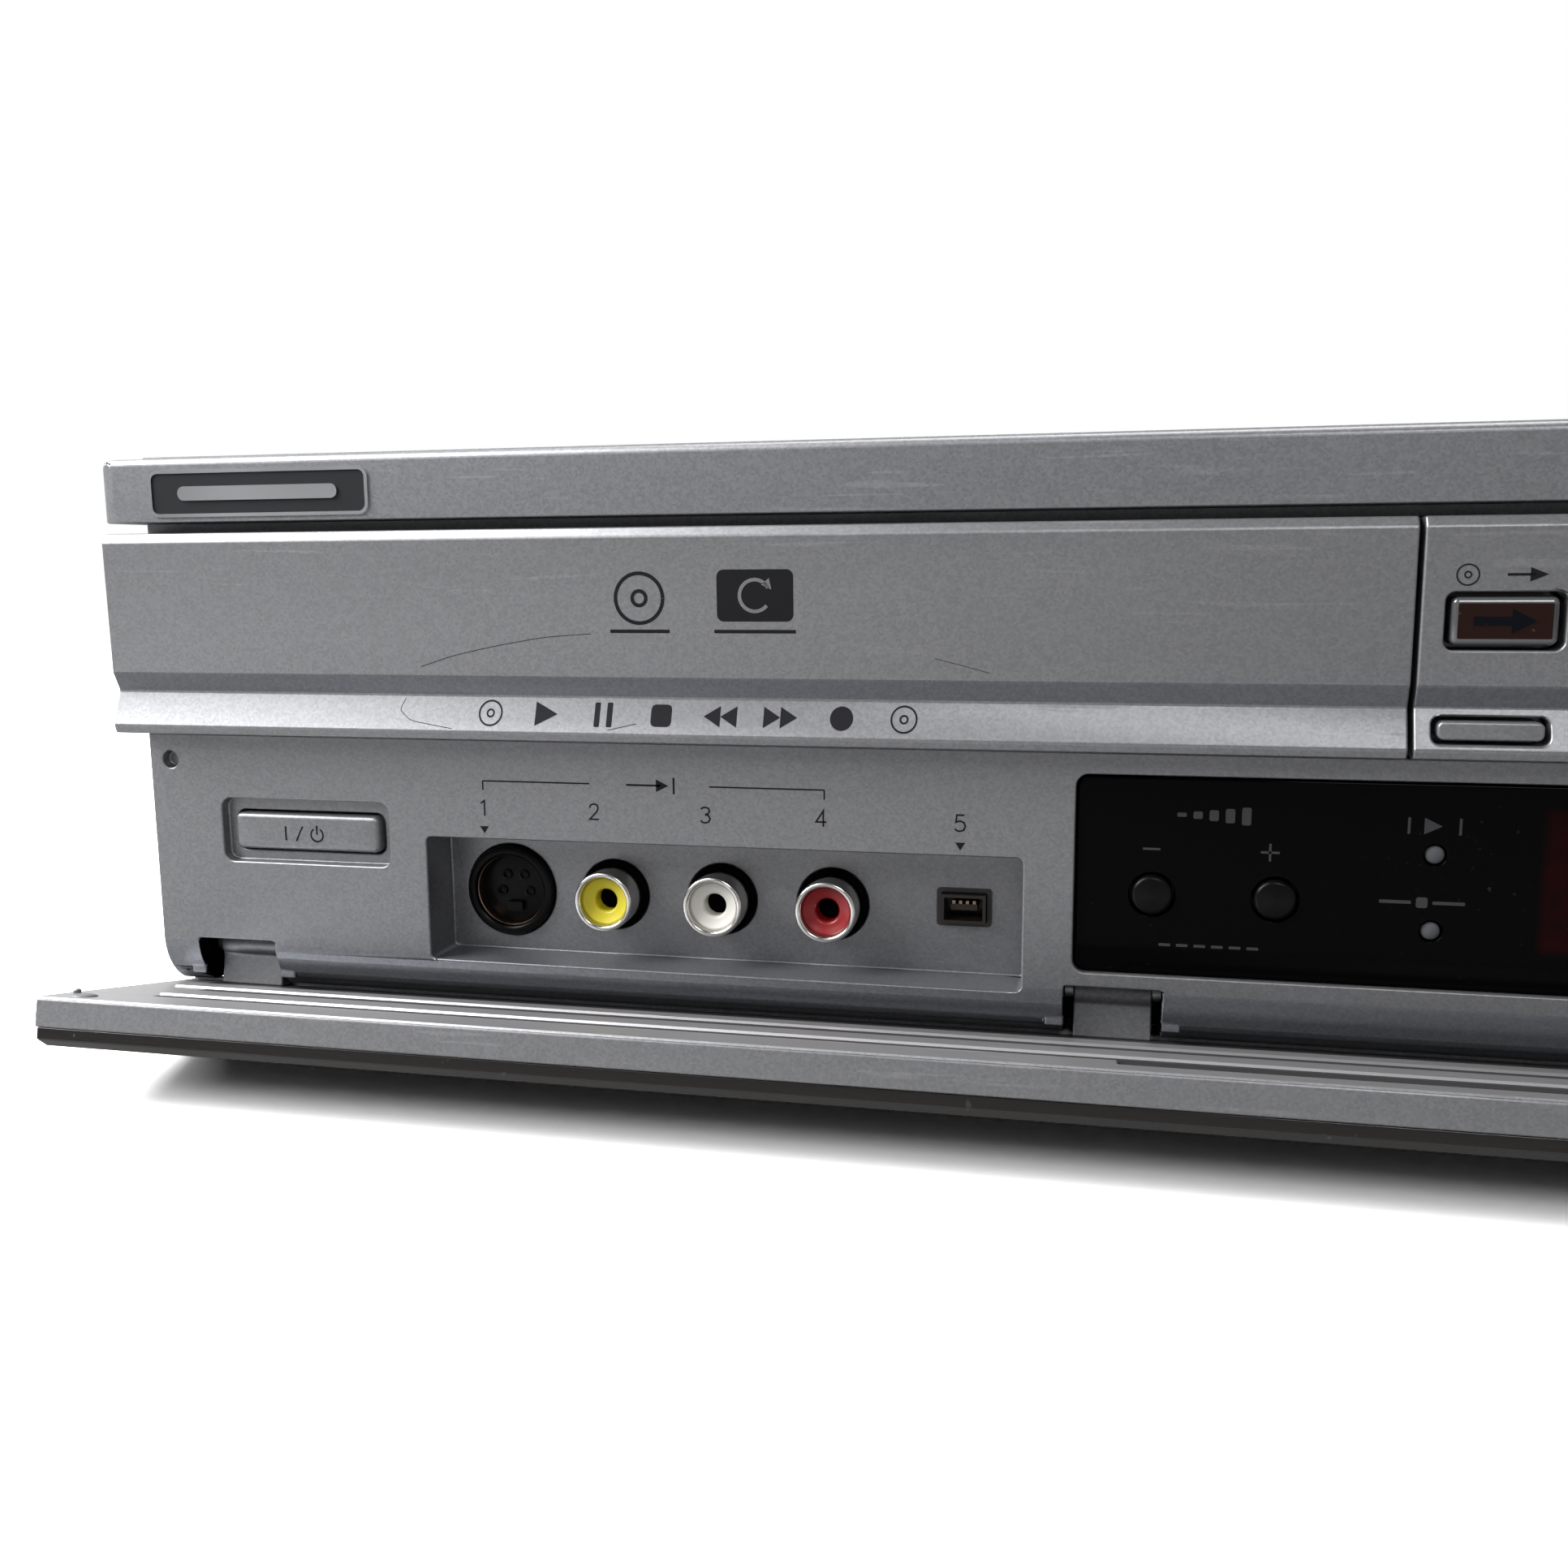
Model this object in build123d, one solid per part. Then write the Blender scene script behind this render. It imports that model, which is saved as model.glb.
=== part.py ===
from build123d import *
import math
import os

# A player for discs and video tapes, with its lower front door hanging open.
# Places are measured in millimetres from the left end of the disc drawer's front (x),
# back from that front's face (y) and up from the table (z).
# The whole is moved at the end, so that the origin is at the bottom centre of its box.

# ---- Case ----
overall_width = 430.0
cap_overhang = 1.1          # the cap and the cover reach this far past the drawer front
body_depth = 340.0          # drawer front to the outside of the rear panel
foot_height = 8.5
sheet = 0.8
pan_sheet = 1.0
pan_front_flange = 7.0
pan_side_flange = 14.0
shell_wall = 2.2
face_wall = 2.0
return_wall = 1.2
x_left = -cap_overhang
x_right = overall_width - cap_overhang
x_mid = (x_left + x_right) / 2

# ---- Upper front, one band section for the drawer front, the flap and the fixed block ----
body_top = 46.4
front_gap = 0.3
lip_height = 1.15
strip_height = 4.75
groove_height = 2.6
face_height = 18.0
bevel_height = 1.2
bevel_depth = 0.8
face_foot_y = 0.2
groove_y = 1.4
strip_foot_y = -0.43
band_bottom = body_top + front_gap
strip_bottom = band_bottom + lip_height
strip_top = strip_bottom + strip_height
face_bottom = strip_top + groove_height
face_top = face_bottom + face_height
band_top = face_top + bevel_height
lid_width = 170.9
side_gap = 0.6
flap_width = 190.8
flap_wall = 2.6
plate_front = 9.5           # the upright plate behind the bands
plate_back = plate_front + shell_wall
bezel_back = 20.0

# ---- Cap ----
cap_gap = 1.45
cap_height = 8.65
cap_y = 1.1
cap_back = 12.0
cap_corner = 3.0
cap_end_corner = 2.8
cap_front_edge = 1.0
cap_tongue = 8.0
cap_bottom = band_top + cap_gap
cap_top = cap_bottom + cap_height
cover_step = 1.0
cover_top = cap_top + cover_step

# ---- Lower front ----
body_y = 3.6
body_inset = 2.5
body_left = body_inset
body_right = x_right - cap_overhang - body_inset
chin_top = 16.0
chin_foot_y = 7.5
chin_foot_z = 9.2
chin_swell = 0.9

# ---- Front recesses ----
window_left = 133.5
window_width = 160.8
window_bottom = 18.4
window_height = 25.1
window_corner = 1.6
window_thickness = 1.6
window_inset = 0.6
window_ledge = 2.5
window_fit = 0.1
jack_left = 45.2
jack_width = 81.8
jack_bottom = 15.25
jack_height = 17.4
jack_depth = 7.5
jack_corner = 0.8
pocket_wall = 1.8
power_recess_left = 13.6
power_recess_width = 26.0
power_recess_bottom = 28.1
power_recess_height = 9.1
power_recess_depth = 1.6
power_recess_corner = 1.5
power_floor = 2.4

# ---- Jacks ----
jack_z = 23.95
rca_first_x = 69.97
rca_pitch = 15.55
rca_count = 3
rca_outer = 8.3
rca_inner = 7.0
rca_pin_hole = 3.2
rca_tip_y = 5.75
rca_hole = 9.8
insert_depth = 1.6
svideo_x = 54.4
svideo_ring = 12.9
svideo_metal = 10.3
dv_x = 118.9
dv_z = 24.33
dv_width = 5.9
dv_height = 3.85
dv_wall = 0.4
dv_tip_y = 9.6
jack_board_y = 24.0
board = 1.6

# ---- Buttons: width, height, place and travel ----
power_width = 22.5
power_height = 5.2
power_x = power_recess_left + power_recess_width / 2
power_z = 32.5
power_corner = 0.9
power_travel = 2.0
key_travel = 0.8
dub_hole_width = 12.65
dub_hole_height = 6.6
dub_hole_corner = 1.1
dub_width = 11.3
dub_height = 5.2
dub_corner = 0.7
dub_x = 180.4
dub_z = 62.6
pill_hole_width = 12.6
pill_hole_height = 3.2
pill_hole_corner = 1.0
pill_width = 11.4
pill_height = 2.2
pill_corner = 0.6
pill_x = 179.7
pill_z = 50.1
channel_diameter = 5.0
channel_hole = 5.6
channel_z = 28.6
channel_down_x = 142.9
channel_up_x = 157.5
transport_width = 16.0
transport_height = 5.0
transport_first_x = 318.0
transport_pitch = 24.0
transport_z = 31.0
key_gap = 0.3
key_flange = 1.2
led_diameter = 2.2
led_hole = 2.6
led_x = 175.4
led_upper_z = 34.8
led_lower_z = 25.5
tube_left = 190.0
tube_width = 62.0
tube_bottom = 23.0
tube_height = 17.0
tube_front = 8.0
front_board_y = 16.0

# ---- Door, drawn closed and then swung open about its pins ----
door_pin_y = 9.3
door_pin_z = 14.6
door_open_angle = 78.2
door_pin_diameter = 2.4
door_left = 2.2
door_back_y = 3.1
door_bottom = 12.5
door_top_gap = 0.5
door_frame_thickness = 4.0
door_panel_thickness = 2.45
door_panel_inset = 0.25
door_panel_bevel = 0.9
arm_width = 9.9
arm_left = 9.5
arm_second = 133.5
arm_slot = 1.1
arm_boss = 2.2
arm_top_below_pin = -1.3
arm_bottom_below_pin = 3.0
pin_fit = 0.04
ear_thickness = 2.4
nub_z = 42.6
nub_diameter = 1.0
nub_height = 1.0

# ---- Disc drive ----
drawer_travel = 138.0
tray_width = 136.0
tray_front = 2.4
tray_length = 170.0
tray_bottom = 58.0
tray_height = 6.0
tray_wall = 2.0
disc_diameter = 120.0
disc_recess = 1.4
small_disc_diameter = 80.0
small_disc_recess = 1.0
disc_y = 76.0
tray_slot_width = 34.0
tray_slot_back = 142.0
hub_hole = 36.0
rack_module = 1.0
rack_line_x = 25.2
rack_low = 54.6
gear_teeth = 24
gear_clearance = 0.15
big_gear_module = 0.8
big_gear_teeth = 40
pinion_teeth = 12
gear_y = 34.0
gear_post = 3.0
gear_bore = 3.1
drive_left = 13.45
drive_wall = 3.5
drive_front = 14.0
drive_length = 182.0
drive_floor_z = 47.5
drive_floor = 2.0
drive_wall_top = 72.0
belt_pulley_diameter = 22.0
motor_pulley_diameter = 6.0
motor_x = 100.0
motor_y = 30.0
motor_diameter = 20.0
motor_length = 10.0
motor_shaft = 2.0
belt_groove = 1.3
pulley_rim = 0.25
belt_gap = 0.3
belt_section = 1.0
clamp_diameter = 30.0
clamp_neck = 17.6
clamp_hole = 18.4
traverse_left = 45.0
traverse_front = 52.0
traverse_length = 118.0
traverse_z = 44.2            # lowered, so that the drawer can pass over the turntable
traverse_plate = 2.5
traverse_pin_y = 165.0
traverse_pin = 3.0
traverse_lift_angle = 5.5
rod_diameter = 2.4
rod_spacing = 50.0
rod_z = 48.5
rod_front = 88.0
rod_length = 74.0
pickup_front = 93.0
pickup_length = 20.0
pickup_travel = 36.0
turntable_diameter = 27.0
turntable_seat = 56.0
hub_clearance = 0.8
hub_diameter = 14.8

# ---- Tape drive ----
deck_front = 45.0
deck_length = 190.0
deck_z = 36.0
deck_plate = 1.5
cassette_width = 188.0
cassette_height = 25.0
carriage_fit = 0.7
carriage_wall = 1.0
carriage_front = 30.0
carriage_length = 85.0
carriage_ledge = 17.0
carriage_travel = 45.0
carriage_drop = 8.0
carriage_z = 46.8
slide_gap = 0.4
slide_sheet = 1.2
drum_diameter = 62.0
drum_y = 198.0
drum_tilt = 6.0
drum_base_height = 14.0
drum_height = 11.0
capstan_x = 371.0
capstan_y = 162.0
capstan_diameter = 4.0
capstan_fit = 0.1
flywheel_diameter = 40.0
reel_spacing = 92.0
reel_y = 118.0
reel_diameter = 38.0

# ---- Boards, supply and rear ----
board_z = 16.0
supply_left = 10.0
supply_width = 112.0
supply_front = 224.0
supply_length = 104.0
fan_x = 165.0
fan_size = 50.0
fan_depth = 10.0
fan_z = 44.0
fan_gap = 1.0
rear_jack_left = 205.0
rear_jack_columns = 4
rear_jack_rows = 2
rear_jack_pitch_x = 20.0
rear_jack_pitch_z = 16.0
rear_jack_length = 8.0
tuner_left = 300.0
tuner_width = 60.0
tuner_depth = 52.0
antenna_diameter = 9.5
antenna_length = 11.5
antenna_nut = 11.0
antenna_nut_thick = 2.0
antenna_z = 34.0
gland_x = 36.0
gland_z = 22.0
foot_diameter = 30.0
foot_inset = 31.0
foot_front_y = 50.0
foot_rear_y = 305.0
screw_head = 7.0


def block(x0, x1, y0, y1, z0, z1):
    """A box between two corners."""
    return Pos(x0, y0, z0) * Box(x1 - x0, y1 - y0, z1 - z0, align=(Align.MIN, Align.MIN, Align.MIN))


def rod_along_x(diameter, y, z, x0, x1):
    return Pos((x0 + x1) / 2, y, z) * Rot(0, 90, 0) * Cylinder(diameter / 2, x1 - x0)


def rod_along_y(diameter, x, z, y0, y1):
    return Pos(x, (y0 + y1) / 2, z) * Rot(90, 0, 0) * Cylinder(diameter / 2, y1 - y0)


def rod_along_z(diameter, x, y, z0, z1):
    return Pos(x, y, (z0 + z1) / 2) * Cylinder(diameter / 2, z1 - z0)


def rounded_block(x, z, width, height, corner, y0, y1):
    """A block seen from the front as a rectangle with round corners."""
    plane = Plane(origin=(x, y1, z), x_dir=(1, 0, 0), z_dir=(0, -1, 0))
    corner = min(corner, 0.499 * min(width, height))
    return extrude(plane * RectangleRounded(width, height, corner), amount=y1 - y0)


def along_x(points, x0, x1):
    """A prism from a closed outline of (y, z) points."""
    outline = Polyline([(x0, y, z) for y, z in points], close=True)
    return extrude(make_face(outline), amount=x1 - x0, dir=(1, 0, 0))


def mirrored(x):
    """The same place on the other side of the case."""
    return 2 * x_mid - x


# ---- Upper front ----
def band_outline(wall):
    """The band's skin: bevel, flat face, groove, slanted strip and lip, then the same set back by the wall."""
    outside = [(bevel_depth, band_top), (0, face_top), (face_foot_y, face_bottom), (groove_y, strip_top),
               (strip_foot_y, strip_bottom), (strip_foot_y + 0.4, band_bottom)]
    inside = [(groove_y + wall, band_bottom), (groove_y + wall, band_top)]
    return outside + inside


def band(x0, x1, wall=face_wall):
    return along_x(band_outline(wall), x0, x1)


def lid():
    """The drawer front: the band, with end returns and two hooks that take the tray."""
    skin = band(0, lid_width)
    back = groove_y + face_wall
    for x in (0, lid_width - face_wall):
        skin += block(x, x + face_wall, back - 0.5, plate_front - front_gap, band_bottom, band_top)
    top_rail = block(0, lid_width, back - 0.5, plate_front - front_gap, band_top - face_wall, band_top)
    return skin + top_rail


tray_left = lid_width / 2 - tray_width / 2
tray_right = tray_left + tray_width
tray_top = tray_bottom + tray_height
tray_y0 = groove_y + face_wall
tray_y1 = tray_y0 + tray_front + tray_length


def rack_tooth(y):
    """One tooth of the tray's rack, 20 degrees on each flank and thinned for backlash."""
    half = math.pi * rack_module / 4 - 0.12
    lean = rack_module * math.tan(math.radians(20))
    root_x = rack_line_x - 1.25 * rack_module - 0.05
    tip_x = rack_line_x + rack_module
    outline = [(root_x, y - half - 1.25 * lean), (tip_x, y - half + lean),
               (tip_x, y + half - lean), (root_x, y + half + 1.25 * lean)]
    face = make_face(Polyline([(x, w, rack_low) for x, w in outline], close=True))
    return extrude(face, amount=tray_bottom + 1 - rack_low, dir=(0, 0, 1))


def disc_tray():
    """The drawer: a shallow shell with two disc recesses, a slot for the pickup and a rack below."""
    deck_low = tray_bottom + 2.0
    body = block(tray_left, tray_right, tray_y0, tray_y1, tray_bottom, tray_top)
    body -= block(tray_left + tray_wall, tray_right - tray_wall, tray_y0 + tray_wall, tray_y1 - tray_wall,
                  tray_bottom - 1, deck_low)
    centre_x = lid_width / 2
    first_floor = tray_top - disc_recess
    body -= rod_along_z(disc_diameter + 2, centre_x, disc_y, first_floor, tray_top + 1)
    body -= rod_along_z(small_disc_diameter + 2, centre_x, disc_y, first_floor - small_disc_recess, tray_top + 1)
    body -= rod_along_z(hub_hole, centre_x, disc_y, tray_bottom - 1, tray_top + 1)
    body -= block(centre_x - tray_slot_width / 2, centre_x + tray_slot_width / 2, disc_y, tray_slot_back,
                  tray_bottom - 1, tray_top + 1)
    rack_back = rack_line_x - 1.25 * rack_module
    body += block(rack_back - 2.5, rack_back, tray_y0 + tray_wall, tray_y1 - tray_wall, rack_low, deck_low + 0.2)
    pitch = math.pi * rack_module
    first = gear_y - math.floor((gear_y - tray_y0 - 6) / pitch) * pitch
    count = int((tray_y1 - 4 - first) / pitch)
    for i in range(count):
        body += rack_tooth(first + (i + 0.5) * pitch)
    return body


def gear_outline(module, teeth, phase):
    """A toothed wheel's outline: an involute flank in four points each side, thinned for backlash."""
    pitch_radius = module * teeth / 2
    base_radius = pitch_radius * math.cos(math.radians(20))
    tip_radius = pitch_radius + module * 0.95
    root_radius = pitch_radius - module * 1.25
    half = math.pi / (2 * teeth) - 0.12 / pitch_radius
    spread = math.tan(math.radians(20)) - math.radians(20)
    radii = [max(base_radius, root_radius + 0.05) + (tip_radius - max(base_radius, root_radius + 0.05)) * i / 3
             for i in range(4)]
    points = []
    for tooth in range(teeth):
        centre = 2 * math.pi * tooth / teeth + phase
        flank = []
        for radius in radii:
            roll = math.sqrt(max((radius / base_radius) ** 2 - 1, 0))
            flank.append((radius, half + spread - (roll - math.atan(roll))))
        side = [(root_radius, -flank[0][1])] + [(r, -a) for r, a in flank]
        side += [(r, a) for r, a in reversed(flank)] + [(root_radius, flank[0][1])]
        points += [(r * math.cos(centre + a), r * math.sin(centre + a)) for r, a in side]
    return points


def gear(module, teeth, z0, z1, phase=0.0):
    face = make_face(Polyline([(x, y, z0) for x, y in gear_outline(module, teeth, phase)], close=True))
    return extrude(face, amount=z1 - z0, dir=(0, 0, 1))


gear_x = rack_line_x + rack_module * gear_teeth / 2 + gear_clearance
drive_floor_top = drive_floor_z + drive_floor
pulley_low = drive_floor_top + 0.3
pulley_high = pulley_low + 1.6
big_gear_low = pulley_high + 0.3
big_gear_high = big_gear_low + 2.2
small_gear_high = tray_bottom - 0.4
pulley_x = gear_x + big_gear_module * (big_gear_teeth + pinion_teeth) / 2 + gear_clearance
drive_right = drive_left + 2 * (lid_width / 2 - drive_left)
drive_back = drive_front + drive_length


def drive_gear():
    """The wheel that moves the drawer: 24 teeth under the rack and 40 finer ones below."""
    body = gear(rack_module, gear_teeth, big_gear_high, small_gear_high)
    body += gear(big_gear_module, big_gear_teeth, big_gear_low, big_gear_high + 0.01)
    body += rod_along_z(2 * gear_post, 0, 0, drive_floor_top + 0.3, big_gear_low + 0.3)
    body -= rod_along_z(gear_bore, 0, 0, 0, 100)
    return Pos(gear_x, gear_y, 0) * body


def belt_pulley():
    """The pulley with the pinion that turns the drawer's wheel."""
    body = gear(big_gear_module, pinion_teeth, pulley_high, big_gear_high, math.pi / pinion_teeth)
    body += rod_along_z(belt_pulley_diameter - 2 * belt_groove, 0, 0, pulley_low, pulley_high)
    for z in (pulley_low, pulley_high - pulley_rim):
        body += rod_along_z(belt_pulley_diameter, 0, 0, z, z + pulley_rim)
    body -= rod_along_z(gear_bore, 0, 0, 0, 100)
    return Pos(pulley_x, gear_y, 0) * body


def motor_pulley():
    body = rod_along_z(motor_pulley_diameter - 2 * belt_groove, motor_x, motor_y, pulley_low, pulley_high)
    for z in (pulley_low, pulley_high - pulley_rim):
        body += rod_along_z(motor_pulley_diameter, motor_x, motor_y, z, z + pulley_rim)
    return body - rod_along_z(motor_shaft + 0.1, motor_x, motor_y, 0, 100)


def belt_loop(extra):
    """A filled loop round both pulleys, its edge this far outside their grooves."""
    big = belt_pulley_diameter / 2 - belt_groove + extra
    small = motor_pulley_diameter / 2 - belt_groove + extra
    dx = motor_x - pulley_x
    dy = motor_y - gear_y
    gap = math.hypot(dx, dy)
    heading = math.atan2(dy, dx)
    tilt = math.acos((big - small) / gap)

    def on(centre_x, centre_y, radius, angle):
        return (centre_x + radius * math.cos(angle), centre_y + radius * math.sin(angle), 0)
    up = heading + tilt
    down = heading - tilt
    a = on(pulley_x, gear_y, big, up)
    b = on(motor_x, motor_y, small, up)
    c = on(motor_x, motor_y, small, down)
    d = on(pulley_x, gear_y, big, down)
    edges = Line(a, b) + ThreePointArc(b, on(motor_x, motor_y, small, heading), c)
    edges += Line(c, d)
    edges += ThreePointArc(d, on(pulley_x, gear_y, big, heading + math.pi), a)
    return make_face(edges)


def loading_belt():
    middle = (pulley_low + pulley_high) / 2
    height = belt_section * 0.8
    ring = extrude(belt_loop(belt_gap + belt_section), amount=height, dir=(0, 0, 1))
    ring -= extrude(belt_loop(belt_gap), amount=height, dir=(0, 0, 1))
    return Pos(0, 0, middle - height / 2) * ring


def loading_motor():
    body = rod_along_z(motor_diameter, motor_x, motor_y, drive_floor_z - motor_length, drive_floor_z)
    shaft = rod_along_z(motor_shaft, motor_x, motor_y, drive_floor_z - 1, pulley_high)
    return body + shaft


def drive_base():
    """The drive's moulded frame: floor, side walls with drawer rails, posts and ears for the traverse."""
    body = block(drive_left, drive_right, drive_front, drive_back, drive_floor_z, drive_floor_top)
    body -= block(traverse_left - 2.4, lid_width - traverse_left + 2.4, traverse_front - 4,
                  traverse_front + traverse_length + 6, drive_floor_z - 1, drive_floor_top + 1)
    for left in (True, False):
        wall_x = drive_left if left else drive_right - drive_wall
        body += block(wall_x, wall_x + drive_wall, drive_front, drive_back, drive_floor_z, drive_wall_top)
        rail_x = tray_left - 0.5 if left else tray_right - 3.5
        body += block(rail_x, rail_x + 4.0, drive_front, drive_back, tray_bottom - 2.5, tray_bottom - 0.3)
        for y in (drive_front + 4, drive_front + drive_length * 0.55):
            body += block(rail_x, rail_x + 4.0, y, y + 12, tray_top + 0.3, tray_top + 2.3)
    body += block(drive_left, drive_right, drive_back - 2, drive_back, drive_floor_z, drive_wall_top)
    for x in (gear_x, pulley_x):
        body += rod_along_z(gear_post, x, gear_y, drive_floor_top - 0.5, small_gear_high - 0.2)
    body -= rod_along_z(2.8, motor_x, motor_y, drive_floor_z - 1, drive_floor_top + 1)
    for x in (traverse_left - 5.5, lid_width - traverse_left + 2.5):
        body += block(x, x + 3.0, traverse_pin_y - 4, traverse_pin_y + 10, traverse_z - 2, drive_floor_top)
    body -= rod_along_x(traverse_pin + 0.1, traverse_pin_y, traverse_z + traverse_plate / 2, drive_left + 6,
                        drive_right - 6)
    return body


def drive_cover():
    plate = block(drive_left, drive_right, drive_front + 12, drive_back, drive_wall_top, drive_wall_top + sheet)
    plate -= rod_along_z(clamp_hole, lid_width / 2, disc_y, drive_wall_top - 1, drive_wall_top + 2)
    for x in (drive_left + 14, drive_right - 26):
        plate -= block(x, x + 12, drive_back - 50, drive_back - 20, drive_wall_top - 1, drive_wall_top + 2)
    return plate


def disc_clamp():
    """The magnetic puck that hangs in the cover's hole and presses the disc down."""
    x = lid_width / 2
    low = tray_top + 2.5
    body = rod_along_z(clamp_diameter, x, disc_y, low, low + 3)
    body += rod_along_z(clamp_neck, x, disc_y, low + 3, drive_wall_top + sheet + 0.4)
    top = drive_wall_top + sheet + 0.4
    body += rod_along_z(clamp_neck + 5, x, disc_y, top, top + 1.2)
    body -= rod_along_z(hub_diameter - 6, x, disc_y, low - 1, low + 1.5)
    return body


def traverse_frame():
    """The tilting frame of the optics: plate, spindle motor, rod blocks and two hinge pins."""
    right = lid_width - traverse_left
    top = traverse_z + traverse_plate
    centre_x = lid_width / 2
    body = block(traverse_left, right, traverse_front, traverse_front + traverse_length, traverse_z, top)
    body -= block(centre_x - 14, centre_x + 14, disc_y + 20, rod_front + rod_length - 8, traverse_z - 1, top + 1)
    body += rod_along_z(24, centre_x, disc_y, traverse_z - 2.5, traverse_z + 1)
    for side in (-1, 1):
        x = centre_x + side * rod_spacing / 2
        for y in (rod_front - 1, rod_front + rod_length - 4):
            body += block(x - 3, x + 3, y, y + 5, top - 0.5, rod_z + 0.9)
        body -= rod_along_y(rod_diameter + 0.04, x, rod_z, rod_front, rod_front + rod_length)
    body += rod_along_x(traverse_pin, traverse_pin_y, traverse_z + traverse_plate / 2,
                        traverse_left - 5.0, right + 5.0)
    body -= rod_along_z(2.1, centre_x, disc_y, traverse_z - 10, top + 1)
    return body


def guide_rods():
    rods = []
    for side in (-1, 1):
        x = lid_width / 2 + side * rod_spacing / 2
        rods.append(rod_along_y(rod_diameter, x, rod_z, rod_front + 0.3, rod_front + rod_length - 0.3))
    return Compound(rods)


def pickup():
    """The laser sled on its two rods, with its lens on top."""
    centre_x = lid_width / 2
    half = rod_spacing / 2 + 4.5
    low = traverse_z + traverse_plate + 0.3
    body = block(centre_x - half, centre_x + half, pickup_front, pickup_front + pickup_length, low, rod_z + 2.2)
    for side in (-1, 1):
        body -= rod_along_y(rod_diameter + 0.1, centre_x + side * rod_spacing / 2, rod_z, 0, body_depth)
    body += rod_along_z(6, centre_x, pickup_front + 8, rod_z + 2.0, tray_bottom - 0.5)
    return body


def turntable():
    """The disc's seat: a flat rim, a hub with a cone top and the spindle below."""
    x = lid_width / 2
    low = traverse_z + traverse_plate + 0.4
    body = rod_along_z(turntable_diameter, x, disc_y, turntable_seat - 1.6, turntable_seat)
    body += Pos(x, disc_y, turntable_seat) * Cone(hub_diameter / 2, hub_diameter / 2 - 1.2,
                                                  tray_bottom - hub_clearance - turntable_seat,
                                                  align=(Align.CENTER, Align.CENTER, Align.MIN))
    body += rod_along_z(8, x, disc_y, low, turntable_seat - 1.5)
    body += rod_along_z(2.0, x, disc_y, traverse_z - 1.5, low + 1)
    return body


# ---- Front moulding ----
def chin_outline(inset):
    """The lower body's section, the wall set in by this much: upright face, rolled chin and flat underside."""
    top = body_top - inset
    front = body_y + inset
    foot_y = chin_foot_y + inset * 0.6
    foot_z = chin_foot_z + inset
    edges = Line((0, bezel_back, top), (0, front, top)) + Line((0, front, top), (0, front, chin_top))
    middle_y = (front + foot_y) / 2 - chin_swell
    middle_z = (chin_top + foot_z) / 2 - chin_swell * 0.4
    edges += ThreePointArc((0, front, chin_top), (0, middle_y, middle_z), (0, foot_y, foot_z))
    edges += Line((0, foot_y, foot_z), (0, bezel_back, foot_z))
    edges += Line((0, bezel_back, foot_z), (0, bezel_back, top))
    return make_face(edges)


def extrude_x(face, x0, x1):
    return Pos(x0, 0, 0) * extrude(face, amount=x1 - x0, dir=(1, 0, 0))


window_x = window_left + window_width / 2
window_z = window_bottom + window_height / 2
jack_x = jack_left + jack_width / 2
jack_mid_z = jack_bottom + jack_height / 2
jack_back = body_y + jack_depth
power_recess_z = power_recess_bottom + power_recess_height / 2
block_left = lid_width + side_gap
flap_left = 229.6
flap_right = flap_left + flap_width
door_right = mirrored(door_left)
arm_lefts = [arm_left, arm_second, mirrored(arm_second) - arm_width, mirrored(arm_left) - arm_width]
transport_xs = [transport_first_x + i * transport_pitch for i in range(3)]
rca_xs = [rca_first_x + i * rca_pitch for i in range(rca_count)]


def lower_shell():
    """The lower front: a hollow body with its windows, recesses and chin slots."""
    shell = extrude_x(chin_outline(0), body_left, body_right)
    cavity = extrude_x(chin_outline(shell_wall), body_left + shell_wall, body_right - shell_wall)
    shell -= Pos(0, 0.001, 0) * cavity
    shell += rounded_block(jack_x, jack_mid_z, jack_width + 2 * pocket_wall, jack_height + 2 * pocket_wall,
                           jack_corner + pocket_wall, body_y + 1, jack_back + pocket_wall)
    shell -= rounded_block(jack_x, jack_mid_z, jack_width, jack_height, jack_corner, body_y - 3, jack_back)
    shell += rounded_block(power_x, power_recess_z, power_recess_width + 3, power_recess_height + 3, 2,
                           body_y + 1, body_y + power_recess_depth + power_floor)
    shell -= rounded_block(power_x, power_recess_z, power_recess_width, power_recess_height, power_recess_corner,
                           body_y - 1, body_y + power_recess_depth)
    shell -= rounded_block(power_x, power_z, power_width + 2 * key_gap, power_height + 2 * key_gap, 1.3, 0, 12)
    ledge_back = body_y + shell_wall + 1.6
    shell += rounded_block(window_x, window_z, window_width + 6, window_height + 4, 3, body_y + 1, ledge_back)
    shell -= rounded_block(window_x, window_z, window_width + 2 * window_fit, window_height + 2 * window_fit,
                           window_corner, body_y - 1, body_y + shell_wall)
    shell -= rounded_block(window_x, window_z, window_width - 2 * window_ledge, window_height - 2 * window_ledge,
                           window_corner, body_y, ledge_back + 1)
    for x in transport_xs:
        shell -= rounded_block(x, transport_z, transport_width + 2 * key_gap, transport_height + 2 * key_gap, 2.7,
                               body_y - 1, 12)
    for x in rca_xs:
        shell -= rod_along_y(rca_hole, x, jack_z, jack_back - 1, jack_back + 3)
    shell -= rod_along_y(svideo_ring + 0.3, svideo_x, jack_z, jack_back - 1, jack_back + 3)
    shell -= block(dv_x - dv_width / 2 - 0.3, dv_x + dv_width / 2 + 0.3, jack_back - 1, jack_back + 3,
                   dv_z - dv_height / 2 - 0.3, dv_z + dv_height / 2 + 0.3)
    shell -= rod_along_y(nub_diameter + 1.4, door_left + 3.6, nub_z, body_y - 1, body_y + 1.6)
    return shell


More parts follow.
